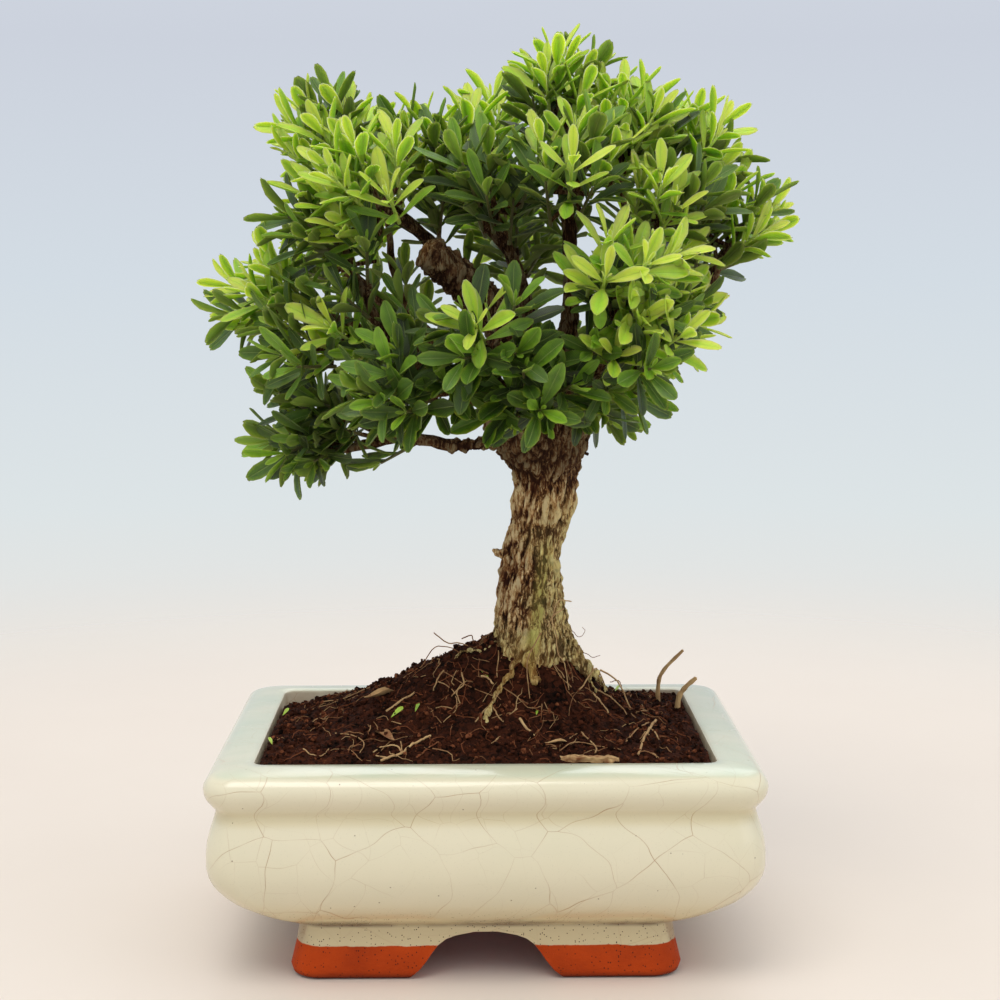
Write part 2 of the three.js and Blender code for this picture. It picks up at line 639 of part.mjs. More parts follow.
// A flat piece that follows the heap, let down until it all but touches the soil
function litter({ x, y, turn, length, width, thick }, ground) {
  const [c, s] = [Math.cos(turn), Math.sin(turn)];
  const outline = LITTER_OUTLINE.map(([a, b]) => [
    x + a * length * c - b * width * s,
    y + a * length * s + b * width * c,
  ]);
  const at = (lift) => {
    const ring = (rise) => outline.map(([a, b]) => vec([a, b, soilHeight(a, b) + lift + rise]));
    return solid(loft([ring(0), ring(thick)]));
  };
  let lift = 2;
  while (lift > -2 && at(lift - CLEARANCE).intersect(ground).isEmpty()) lift -= 0.05;
  return at(lift);
}

// The whole

const bonsai = new THREE.Group();
const add = (name, shape, material) => bonsai.add(meshOf(name, shape, material));

add("pot", pot(), GLAZE);
add("drain_screen_left", drainScreen(-1), PLASTIC);
add("drain_screen_right", drainScreen(1), PLASTIC);

const rootEnds = Object.entries(ROOT_ENDS);
const ground = soil(union([standing(GROWN), ...rootEnds.map(([, way]) => rootEnd(way, GROWN))]));
add("soil", ground, SOIL);
for (const [name, way] of rootEnds) add(name, rootEnd(way, 0), BARK);
for (const [name, piece] of Object.entries(LITTER)) {
  add(name, litter(piece, ground), name === "bark_chip" ? BARK : DEAD_LEAF);
}

const shoots = PADS.flatMap((pad, key) => Array.from({ length: pad.shoots }, (_, i) => shootOf(pad, key, i)));
const wood = union([
  standing(0),
  ...Object.keys(LIMBS).map((name) => limb(name, shoots)),
  ...PADS.filter((pad) => pad.at < 1).map((pad) => branch(pad, shoots)),
  ...shoots.filter((shoot, i) => i && shoots[i - 1].pad === shoot.pad).map(twig),
]);
add("trunk_and_branches", wood, BARK);

const leaves = leavesOf(shoots, wood);
for (const shoot of shoots) {
  add(shoot.name, shootSolid(shoot, leaves.get(shoot)), shoot.young ? YOUNG_LEAF : OLD_LEAF);
}

const box = new THREE.Box3().setFromObject(bonsai);
const centre = box.getCenter(new THREE.Vector3());
bonsai.position.set(-centre.x, -centre.y, -box.min.z);

export default bonsai;
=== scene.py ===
"""Looks of a boxwood bonsai in its glazed pot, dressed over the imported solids.

Sizes are in millimetres from the middle of the pot's underside, as in the part's source, and turn
into metres in the row frame when a piece is finished.
"""

import sys
import logging
import math
from dataclasses import dataclass, field
from enum import Enum
from typing import Callable, Iterable, Sequence

import bmesh
import bpy
import numpy as np
from mathutils import Matrix, Vector, noise


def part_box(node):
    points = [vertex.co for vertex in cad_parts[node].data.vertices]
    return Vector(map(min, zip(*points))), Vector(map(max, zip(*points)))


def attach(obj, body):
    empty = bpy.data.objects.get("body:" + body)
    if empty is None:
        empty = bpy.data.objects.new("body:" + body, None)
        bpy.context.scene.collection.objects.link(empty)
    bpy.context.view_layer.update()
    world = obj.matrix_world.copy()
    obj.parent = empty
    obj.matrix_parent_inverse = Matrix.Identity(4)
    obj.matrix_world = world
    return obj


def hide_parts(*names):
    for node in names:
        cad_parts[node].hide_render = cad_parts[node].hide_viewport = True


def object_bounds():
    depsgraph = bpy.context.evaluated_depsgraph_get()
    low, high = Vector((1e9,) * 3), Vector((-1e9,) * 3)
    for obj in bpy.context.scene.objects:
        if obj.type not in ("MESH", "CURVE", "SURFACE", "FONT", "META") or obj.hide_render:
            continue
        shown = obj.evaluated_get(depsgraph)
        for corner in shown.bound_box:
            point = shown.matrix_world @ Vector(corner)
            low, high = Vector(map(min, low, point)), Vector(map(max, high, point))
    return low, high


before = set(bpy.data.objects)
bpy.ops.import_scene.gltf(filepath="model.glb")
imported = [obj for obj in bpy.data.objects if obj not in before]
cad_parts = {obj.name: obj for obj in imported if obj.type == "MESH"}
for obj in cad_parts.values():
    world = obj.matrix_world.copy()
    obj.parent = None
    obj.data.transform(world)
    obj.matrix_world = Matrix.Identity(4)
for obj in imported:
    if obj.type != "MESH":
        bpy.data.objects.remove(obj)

log = logging.getLogger("bonsai")

MM = 0.001
CAD_LOW, CAD_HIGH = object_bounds()
POT_LOW, POT_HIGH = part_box("pot")
POT_MIDDLE = Vector(((POT_LOW.x + POT_HIGH.x) / 2, (POT_LOW.y + POT_HIGH.y) / 2, 0.0))
EYE = (-5, -615, 226)  # where the camera stands, in millimetres from the pot's middle
NEAR = 1e-3  # two places closer than this are the same

Colour = tuple[float, float, float, float]
Triple = tuple[float, float, float]
Pair = tuple[np.ndarray, np.ndarray]
Piece = bpy.types.Object
Material = bpy.types.Material
Tree = bpy.types.NodeTree
Socket = bpy.types.NodeSocket


class Slot(Enum):
    """The record's material slots."""

    GLAZE = "glazed_ceramic"
    BARK = "bark"
    SOIL = "soil"
    YOUNG_LEAF = "young_leaf"
    MATURE_LEAF = "mature_leaf"
    LITTER = "dry_litter"
    PLASTIC = "black_plastic"


def tint(red: int, green: int, blue: int) -> Colour:
    """Turns a colour as seen on a screen, 0 to 255 a channel, into the light that a shader takes."""
    shares = [c / 255 for c in (red, green, blue)]
    light = [s / 12.92 if s <= 0.04045 else ((s + 0.055) / 1.055) ** 2.4 for s in shares]
    return (*light, 1.0)


# ---- Growth: the same seeded rules as the part's source ----

MASK = 0xFFFFFFFF


def draw(seed: int, i: int, j: int) -> float:
    """A number from 0 to 1 that depends only on its three keys.

    Args:
        seed: Which family of numbers.
        i: First key.
        j: Second key.

    Returns:
        The number.
    """
    h = ((seed + 1) * 0x9E3779B1 ^ (i + 1) * 0x85EBCA6B ^ (j + 1) * 0xC2B2AE35) & MASK
    h = ((h ^ (h >> 15)) * 0x2C1B3C6D) & MASK
    h = ((h ^ (h >> 12)) * 0x297A2D39) & MASK
    return (h ^ (h >> 15)) / 4294967296


def mix(a: float, b: float, t: float) -> float:
    """The value a share t of the way from a to b."""
    return a + (b - a) * t


def unit(v: np.ndarray) -> np.ndarray:
    """The vector at length 1."""
    return v / np.linalg.norm(v)


def across(axis: np.ndarray) -> Pair:
    """Two directions square to an axis and to each other."""
    u = unit(np.cross(axis, [1.0, 0, 0] if abs(axis[2]) > 0.9 else [0, 0, 1.0]))
    return u, unit(np.cross(axis, u))


def around(square: Pair, angle: float) -> np.ndarray:
    """The direction at an angle round an axis, from two directions square to it."""
    return square[0] * math.cos(angle) + square[1] * math.sin(angle)


@dataclass(frozen=True)
class Way:
    """A smooth way through given points, the one that the solids follow.

    Attributes:
        path: The points, in millimetres.
    """

    path: tuple[tuple[float, ...], ...]

    def at(self, t: float) -> np.ndarray:
        """The point a share t of the way along, counted in spans between points."""
        p = np.array(self.path, float)
        place = t * (len(p) - 1)
        i = min(int(place), len(p) - 2)
        w = place - i
        before = p[i - 1] if i else 2 * p[0] - p[1]
        after = p[i + 2] if i + 2 < len(p) else 2 * p[-1] - p[-2]
        a, b = 0.5 * (p[i + 1] - before), 0.5 * (after - p[i])
        c, d = 3 * (p[i + 1] - p[i]) - 2 * a - b, 2 * (p[i] - p[i + 1]) + a + b
        return p[i] + a * w + c * w * w + d * w**3

    def points(self, count: int, start: float = 0.0, end: float = 1.0) -> np.ndarray:
        """Points at even steps of the share, from start to end."""
        return np.array([self.at(t) for t in np.linspace(start, end, count + 1)])

    def heading(self, t: float) -> np.ndarray:
        """The direction of the way at a share t."""
        return unit(self.at(min(1, t + 1e-4)) - self.at(max(0, t - 1e-4)))


# ---- The bench: Blender's operators on one piece at a time ----


def lone(piece: Piece) -> None:
    """Selects one piece and nothing else."""
    if bpy.context.selected_objects:
        bpy.ops.object.select_all(action="DESELECT")
    piece.select_set(True)
    bpy.context.view_layer.objects.active = piece


def fresh(name: str) -> Piece:
    """Names the primitive that was just added."""
    piece = bpy.context.active_object
    piece.name = piece.data.name = name
    return piece


def fixed(name: str) -> Piece:
    """Names it too, with its place, turn and size made part of its mesh."""
    bpy.ops.object.transform_apply(location=True, rotation=True, scale=True)
    return fresh(name)


def modify(piece: Piece, kind: str, **settings: object) -> None:
    """Adds a modifier with its settings and applies it.

    Args:
        piece: The piece that it works on.
        kind: The modifier's kind, as Blender names it.
        **settings: Its settings.
    """
    modifier = piece.modifiers.new(kind.lower(), kind)
    for key, value in settings.items():
        setattr(modifier, key, value)
    lone(piece)
    bpy.ops.object.modifier_apply(modifier=modifier.name)


def cut_away(piece: Piece, cutter: Piece) -> None:
    """Cuts one shape out of a piece and puts the cutter away."""
    modify(piece, "BOOLEAN", operation="DIFFERENCE", solver="EXACT", object=cutter)
    bpy.data.objects.remove(cutter)


def joined(name: str, first: Piece, second: Piece) -> Piece:
    """Joins two parts into one piece, which takes the name."""
    lone(first)
    second.select_set(True)
    bpy.ops.object.join()
    return fresh(name)


def finish(piece: Piece, degrees: float, material: Material, nodes: Iterable[str]) -> None:
    """Turns a piece into metres in the row frame, shades it, gives it its material, and reports it.

    Args:
        piece: The piece, in millimetres round the pot's middle.
        degrees: Edges sharper than this angle stay sharp.
        material: Its material.
        nodes: The solids that it stands for.
    """
    lone(piece)
    bpy.ops.object.transform_apply(location=True, rotation=True, scale=True)
    piece.data.transform(Matrix.Translation(POT_MIDDLE) @ Matrix.Scale(MM, 4))
    bpy.ops.object.shade_smooth_by_angle(angle=math.radians(degrees))
    piece.data.materials.clear()
    piece.data.materials.append(material)
    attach(piece, "root")
    nodes = list(nodes)
    if nodes:
        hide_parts(*nodes)
    triangles = sum(len(p.vertices) - 2 for p in piece.data.polygons)
    log.info("%s: %d triangles, for %s", piece.name, triangles, ", ".join(nodes) or "no solid of its own")


class Editing:
    """Edit mode on one piece, as a with block, with points picked by their place."""

    def __init__(self, piece: Piece) -> None:
        """Keeps the piece for the block."""
        self.piece = piece

    def __enter__(self) -> "Editing":
        """Goes into edit mode."""
        lone(self.piece)
        bpy.ops.object.mode_set(mode="EDIT")
        bpy.ops.mesh.select_mode(type="VERT")
        return self

    def __exit__(self, *_: object) -> None:
        """Leaves edit mode."""
        bpy.ops.object.mode_set(mode="OBJECT")

    def picked(self) -> list[int]:
        """The numbers of the points that are selected."""
        return [i for i, v in enumerate(bmesh.from_edit_mesh(self.piece.data).verts) if v.select]

    def pick(self, test: Callable[[Vector], bool], among: Iterable[int] | None = None) -> None:
        """Selects just the points whose place passes a test.

        Args:
            test: The test of a point's place.
            among: The numbers of the points to look at, or all of them.
        """
        mesh = bmesh.from_edit_mesh(self.piece.data)
        mesh.verts.ensure_lookup_table()
        for part in (*mesh.faces, *mesh.edges, *mesh.verts):
            part.select = False
        for v in mesh.verts if among is None else [mesh.verts[i] for i in among]:
            v.select = test(v.co)
        mesh.select_flush_mode()
        bmesh.update_edit_mesh(self.piece.data)

    @staticmethod
    def move(x: float = 0, y: float = 0, z: float = 0) -> None:
        """Moves what is selected."""
        bpy.ops.transform.translate(value=(x, y, z))

    @staticmethod
    def scale(x: float, y: float, z: float, about: Triple) -> None:
        """Scales what is selected about a point."""
        bpy.ops.transform.resize(value=(x, y, z), center_override=about)

    @staticmethod
    def turn(angle: float) -> None:
        """Turns what is selected about the upright axis."""
        bpy.ops.transform.rotate(value=angle, orient_axis="Z", center_override=(0, 0, 0))

    @staticmethod
    def extrude(x: float = 0, y: float = 0, z: float = 0) -> None:
        """Extrudes what is selected and moves the new part."""
        bpy.ops.mesh.extrude_region_move(TRANSFORM_OT_translate={"value": (x, y, z)})

    @staticmethod
    def pick_all() -> None:
        """Selects everything."""
        bpy.ops.mesh.select_all(action="SELECT")

    def face_out(self) -> None:
        """Turns every face outwards."""
        self.pick_all()
        bpy.ops.mesh.normals_make_consistent(inside=False)


def skin(name: str, points: np.ndarray, faces: np.ndarray) -> Piece:
    """Puts a mesh of its own into the scene.

    Args:
        name: The piece's name.
        points: Its points, in millimetres.
        faces: The corners of its faces, all with the same number of corners.

    Returns:
        The piece.
    """
    mesh = bpy.data.meshes.new(name)
    points = np.ascontiguousarray(points, np.float32)
    faces = np.ascontiguousarray(faces, np.int32)
    sides = faces.shape[1]
    mesh.vertices.add(len(points))
    mesh.vertices.foreach_set("co", points.ravel())
    mesh.loops.add(faces.size)
    mesh.loops.foreach_set("vertex_index", faces.ravel())
    mesh.polygons.add(len(faces))
    mesh.polygons.foreach_set("loop_start", np.arange(0, faces.size, sides, dtype=np.int32))
    mesh.update(calc_edges=True)
    mesh.validate()
    piece = bpy.data.objects.new(name, mesh)
    bpy.context.scene.collection.objects.link(piece)
    return piece


def note(piece: Piece, name: str, values: np.ndarray | float) -> None:
    """Writes a number for each point of a piece, or one for all, for its material to read."""
    layer = piece.data.attributes.new(name, "FLOAT", "POINT")
    each = np.broadcast_to(values, len(piece.data.vertices))
    layer.data.foreach_set("value", np.ascontiguousarray(each, np.float32))


def places(piece: Piece) -> np.ndarray:
    """The places of a piece's points."""
    out = np.empty(len(piece.data.vertices) * 3, np.float32)
    piece.data.vertices.foreach_get("co", out)
    return out.reshape(-1, 3).astype(float)


def put(piece: Piece, points: np.ndarray) -> None:
    """Moves a piece's points to new places."""
    piece.data.vertices.foreach_set("co", np.ascontiguousarray(points, np.float32).ravel())
    piece.data.update()


class Tubes:
    """Many round tubes gathered into one mesh of triangles, each closed at both ends."""

    def __init__(self) -> None:
        """Starts with no tubes."""
        self.points: list[np.ndarray] = []
        self.faces: list[np.ndarray] = []
        self.tones: list[np.ndarray] = []
        self.count = 0

    def add(self, line: np.ndarray, radii: Sequence[float], sides: int, tone: float = 0.0) -> None:
        """Adds a tube.

        Args:
            line: The points along its middle.
            radii: Its radius at each point.
            sides: How many sides it has.
            tone: A number that its material reads.
        """
        turn = np.linspace(0, 2 * np.pi, sides, endpoint=False)
        u = None
        rings = []
        for i, point in enumerate(line):
            heading = unit(line[min(len(line) - 1, i + 1)] - line[max(0, i - 1)])
            u = across(heading)[0] if u is None else unit(u - heading * (u @ heading))
            w = np.cross(heading, u)
            rings.append(point + radii[i] * (np.outer(np.cos(turn), u) + np.outer(np.sin(turn), w)))
        first = line[0] - 0.3 * radii[0] * unit(line[1] - line[0])
        last = line[-1] + 0.5 * radii[-1] * unit(line[-1] - line[-2])
        points = np.vstack([*rings, first, last])
        n = len(line)
        ring = np.arange(sides)
        after = (ring + 1) % sides
        faces = []
        for r in range(n - 1):
            a, b = r * sides + ring, r * sides + after
            faces += [np.stack([a, b, b + sides], 1), np.stack([a, b + sides, a + sides], 1)]
        foot, tip = n * sides, n * sides + 1
        faces.append(np.stack([np.full(sides, foot), after, ring], 1))
        faces.append(np.stack([np.full(sides, tip), (n - 1) * sides + ring, (n - 1) * sides + after], 1))
        self.points.append(points)
        self.faces.append(np.vstack(faces) + self.count)
        self.tones.append(np.full(len(points), tone))
        self.count += len(points)

    def made(self, name: str) -> Piece:
        """Puts the tubes into the scene as one piece, with its tones if it has any."""
        piece = skin(name, np.vstack(self.points), np.vstack(self.faces))
        tones = np.concatenate(self.tones)
        if tones.any():
            note(piece, "tone", tones)
        return piece


# ---- Shaders ----


class Sheet:
    """A node tree with short ways to add nodes and join them."""

    def __init__(self, tree: Tree) -> None:
        """Keeps the tree."""
        self.tree = tree

    def add(
        self, kind: str, sockets: dict[str | int, object] | None = None, **settings: object
    ) -> bpy.types.Node:
        """Adds a node.

        Args:
            kind: The node's type, without its usual start.
            sockets: A value or another node's output for each named or numbered input.
            **settings: The node's own settings.

        Returns:
            The node.
        """
        node = self.tree.nodes.new("ShaderNode" + kind)
        for key, value in settings.items():
            setattr(node, key, value)
        for key, value in (sockets or {}).items():
            if isinstance(value, Socket):
                self.tree.links.new(value, node.inputs[key])
            else:
                node.inputs[key].default_value = value
        return node

    def blend(self, share: object, a: object, b: object) -> Socket:
        """Mixes two colours by a share from 0 to 1."""
        return self.add("Mix", {0: share, 6: a, 7: b}, data_type="RGBA").outputs[2]

    def between(self, share: object, a: object, b: object) -> Socket:
        """Mixes two numbers by a share from 0 to 1."""
        return self.add("Mix", {0: share, 2: a, 3: b}).outputs[0]

    def sum(self, how: str, a: object, b: object = 0.0) -> Socket:
        """One step of arithmetic on numbers."""
        return self.add("Math", {0: a, 1: b}, operation=how).outputs[0]

    def times(self, a: object, b: object) -> Socket:
        """One number times another."""
        return self.sum("MULTIPLY", a, b)

    def plus(self, a: object, b: object) -> Socket:
        """One number and another."""
        return self.sum("ADD", a, b)

    def less(self, a: object, b: object) -> Socket:
        """One number less another."""
        return self.sum("SUBTRACT", a, b)

    def step(self, value: object, low: float, high: float) -> Socket:
        """A soft step from 0 at low to 1 at high, either way round."""
        if low > high:
            return self.less(1.0, self.step(value, high, low))
        sockets = {"Value": value, "From Min": low, "From Max": high}
        return self.add("MapRange", sockets, interpolation_type="SMOOTHSTEP").outputs[0]

    def ramp(self, value: object, stops: Sequence[tuple[float, Colour]]) -> Socket:
        """A colour for each value from 0 to 1, through given stops."""
        node = self.add("ValToRGB", {"Fac": value})
        ramp = node.color_ramp
        ramp.elements[0].position, ramp.elements[0].color = stops[0]
        ramp.elements[1].position, ramp.elements[1].color = stops[-1]
        for place, colour in stops[1:-1]:
            ramp.elements.new(place).color = colour
        return node.outputs[0]

    def noise(self, vector: object, scale: float, detail: float = 3, roughness: float = 0.55) -> Socket:
        """Cloudy noise from 0 to 1."""
        sockets = {"Vector": vector, "Scale": scale, "Detail": detail, "Roughness": roughness}
        return self.add("TexNoise", sockets).outputs[0]

    def stretched(self, vector: object, x: float, y: float, z: float) -> Socket:
        """The same place with each axis scaled."""
        return self.add("Mapping", {"Vector": vector, "Scale": (x, y, z)}).outputs[0]

    def warped(self, vector: object, scale: float, reach: float) -> Socket:
        """The same place, pushed aside by noise."""
        push = self.add("TexNoise", {"Vector": vector, "Scale": scale, "Detail": 2.0}).outputs[1]
        centred = self.add("VectorMath", {0: push, 1: (0.5, 0.5, 0.5)}, operation="SUBTRACT").outputs[0]
        scaled = self.add("VectorMath", {0: centred, "Scale": reach}, operation="SCALE").outputs[0]
        return self.add("VectorMath", {0: vector, 1: scaled}, operation="ADD").outputs[0]

    def place(self) -> Socket:
        """The piece's own coordinates."""
        return self.add("TexCoord").outputs["Object"]

    def told(self, name: str) -> Socket:
        """A number written on the piece's points."""
        return self.add("Attribute", attribute_name=name).outputs["Fac"]

    def group(self, effect: Tree, sockets: dict[str, object]) -> bpy.types.Node:
        """Places a shared effect."""
        return self.add("Group", sockets, node_tree=effect)


class MaterialSheet(Sheet):
    """A new material with one surface shader."""

    def __init__(self, name: str, **surface: object) -> None:
        """Makes the material.

        Args:
            name: Its name.
            **surface: Values of the surface shader's sockets, spaces written as underscores.
        """
        self.material = bpy.data.materials.new(name)
        self.material.use_nodes = True
        super().__init__(self.material.node_tree)
        self.surface = self.tree.nodes["Principled BSDF"]
        for key, value in surface.items():
            self.surface.inputs[key.replace("_", " ")].default_value = value

    def join(self, **outputs: Socket) -> None:
        """Joins outputs to the surface shader's sockets, spaces written as underscores."""
        for key, value in outputs.items():
            self.tree.links.new(value, self.surface.inputs[key.replace("_", " ")])

    def relief(self, height: Socket, strength: float, distance: float) -> None:
        """Gives the surface a relief of a given depth in metres."""
        bump = self.add("Bump", {"Height": height, "Strength": strength, "Distance": distance})
        self.join(Normal=bump.outputs[0])


class EffectSheet(Sheet):
    """A node group with named inputs and outputs."""

    KINDS = {"Vector": "NodeSocketVector", "Colour": "NodeSocketColor"}

    def __init__(self, name: str, inputs: dict[str, float | None], outputs: Sequence[str]) -> None:
        """Makes the group.

        Args:
            name: Its name.
            inputs: Its inputs and their values, None for a vector or a colour.
            outputs: Its outputs' names.
        """
        super().__init__(bpy.data.node_groups.new(name, "ShaderNodeTree"))
        for key, value in inputs.items():
            kind = self.KINDS.get(key.split()[-1], "NodeSocketFloat")
            socket = self.tree.interface.new_socket(name=key, in_out="INPUT", socket_type=kind)
            if value is not None:
                socket.default_value = value
        for key in outputs:
            kind = self.KINDS.get(key.split()[-1], "NodeSocketFloat")
            self.tree.interface.new_socket(name=key, in_out="OUTPUT", socket_type=kind)
        self.given = self.tree.nodes.new("NodeGroupInput").outputs
        self.out = self.tree.nodes.new("NodeGroupOutput")

    def give(self, **outputs: Socket) -> Tree:
        """Joins the outputs and returns the finished group."""
        for key, value in outputs.items():
            self.tree.links.new(value, self.out.inputs[key])
        return self.tree


class Effects:
    """Effects that several finishes share, each built once."""

    def __init__(self) -> None:
        """Builds the groups."""
        self.specks = self._specks()
        self.mottle = self._mottle()
        self.fibrous = self._fibrous()
        self.leaf_skin = self._leaf_skin()

    def clouds(self, m: Sheet, place: object, scale: float, contrast: float) -> Socket:
        """Places cloudy patches in a material."""
        sockets = {"Vector": place, "Scale": scale, "Contrast": contrast}
        return m.group(self.mottle, sockets).outputs[0]

    def spots(self, m: Sheet, place: object, scale: float, size: float, share: float) -> Socket:
        """Places strewn spots in a material."""
        sockets = {"Vector": place, "Scale": scale, "Size": size, "Share": share}
        return m.group(self.specks, sockets).outputs[0]

    @staticmethod
    def _specks() -> Tree:
        """Small round spots strewn at random: size as a share of their spacing, and how many stay."""
        s = EffectSheet("specks", {"Vector": None, "Scale": 400.0, "Size": 0.3, "Share": 0.2}, ["Mask"])
        cells = s.add("TexVoronoi", {"Vector": s.given["Vector"], "Scale": s.given["Scale"]})
        near = s.sum("LESS_THAN", cells.outputs["Distance"], s.given["Size"])
        lot = s.add("SeparateColor", {"Color": cells.outputs["Color"]}).outputs[0]
        return s.give(Mask=s.times(near, s.sum("LESS_THAN", lot, s.given["Share"])))

    @staticmethod
    def _mottle() -> Tree:
        """Cloudy patches from 0 to 1, more or less sharply parted."""
        s = EffectSheet("mottle", {"Vector": None, "Scale": 60.0, "Contrast": 2.0}, ["Value"])
        sockets = {"Vector": s.given["Vector"], "Scale": s.given["Scale"], "Detail": 4.0}
        cloud = s.add("TexNoise", sockets).outputs[0]
        spread = s.times(s.less(cloud, 0.5), s.given["Contrast"])
        return s.give(Value=s.add("Clamp", {"Value": s.plus(spread, 0.5)}).outputs[0])

    @staticmethod
    def _fibrous() -> Tree:
        """Torn strips of bark that run up the wood: 0 in the cracks, 1 on the crests."""
        s = EffectSheet("fibrous", {"Vector": None}, ["Crest", "Height"])
        place = s.warped(s.given["Vector"], 260.0, 0.0016)
        long = s.stretched(place, 1, 1, 0.22)
        strips = s.noise(long, 1100.0, 5, 0.7)
        cells = s.add("TexVoronoi", {"Vector": long, "Scale": 620.0}, feature="DISTANCE_TO_EDGE").outputs[0]
        crest = s.step(cells, 0.0, 0.16)
        fine = s.step(strips, 0.32, 0.68)
        both = s.times(s.plus(s.times(crest, 0.5), 0.5), fine)
        return s.give(Crest=both, Height=s.plus(s.times(both, 0.7), s.times(strips, 0.3)))

    @staticmethod
    def _leaf_skin() -> Tree:
        """A leaf's upper and under skin from where it is on the blade and how old the leaf is.

        The first coordinate is 0 to 1 across the upper face and 2 to 3 across the under face, and the
        second runs from foot to tip.
        """
        inputs = {"Blade Vector": None, "Age": 0.5, "Place Vector": None}
        s = EffectSheet("leaf_skin", inputs, ["Skin Colour", "Under", "Height"])
        blade = s.add("SeparateXYZ", {0: s.given["Blade Vector"]})
        under = s.sum("GREATER_THAN", blade.outputs[0], 1.5)
        over = s.less(blade.outputs[0], s.times(under, 2.0))
        off = s.sum("ABSOLUTE", s.less(over, 0.5))
        rib = s.step(off, 0.05, 0.012)
        slant = s.plus(s.times(blade.outputs[1], 15.0), s.times(off, -13.0))
        vein = s.step(s.sum("ABSOLUTE", s.less(s.sum("FRACT", slant), 0.5)), 0.2, 0.04)
        cloud = s.less(s.noise(s.given["Place Vector"], 240.0, 3), 0.5)
        age = s.plus(s.given["Age"], s.times(cloud, 0.22))
        toward_edge = s.times(s.times(off, off), -0.35)
        age = s.add("Clamp", {"Value": s.plus(age, toward_edge)}).outputs[0]
        stops = [
            (0.0, tint(200, 224, 80)),
            (0.2, tint(168, 206, 62)),
            (0.42, tint(122, 166, 38)),
            (0.66, tint(72, 104, 24)),
            (0.86, tint(46, 66, 20)),
            (1.0, tint(34, 46, 17)),
        ]
        green = s.ramp(age, stops)
        pale = s.blend(s.times(vein, 0.1), green, tint(176, 190, 110))
        ribbed = s.blend(s.times(rib, 0.26), pale, tint(166, 184, 96))
        below = s.blend(0.45, ribbed, tint(126, 138, 62))
        colour = s.blend(under, ribbed, below)
        rise = s.plus(s.times(rib, -0.9), s.times(vein, -0.16))
        return s.give(**{"Skin Colour": colour, "Under": under, "Height": rise})


# ---- Finishes ----


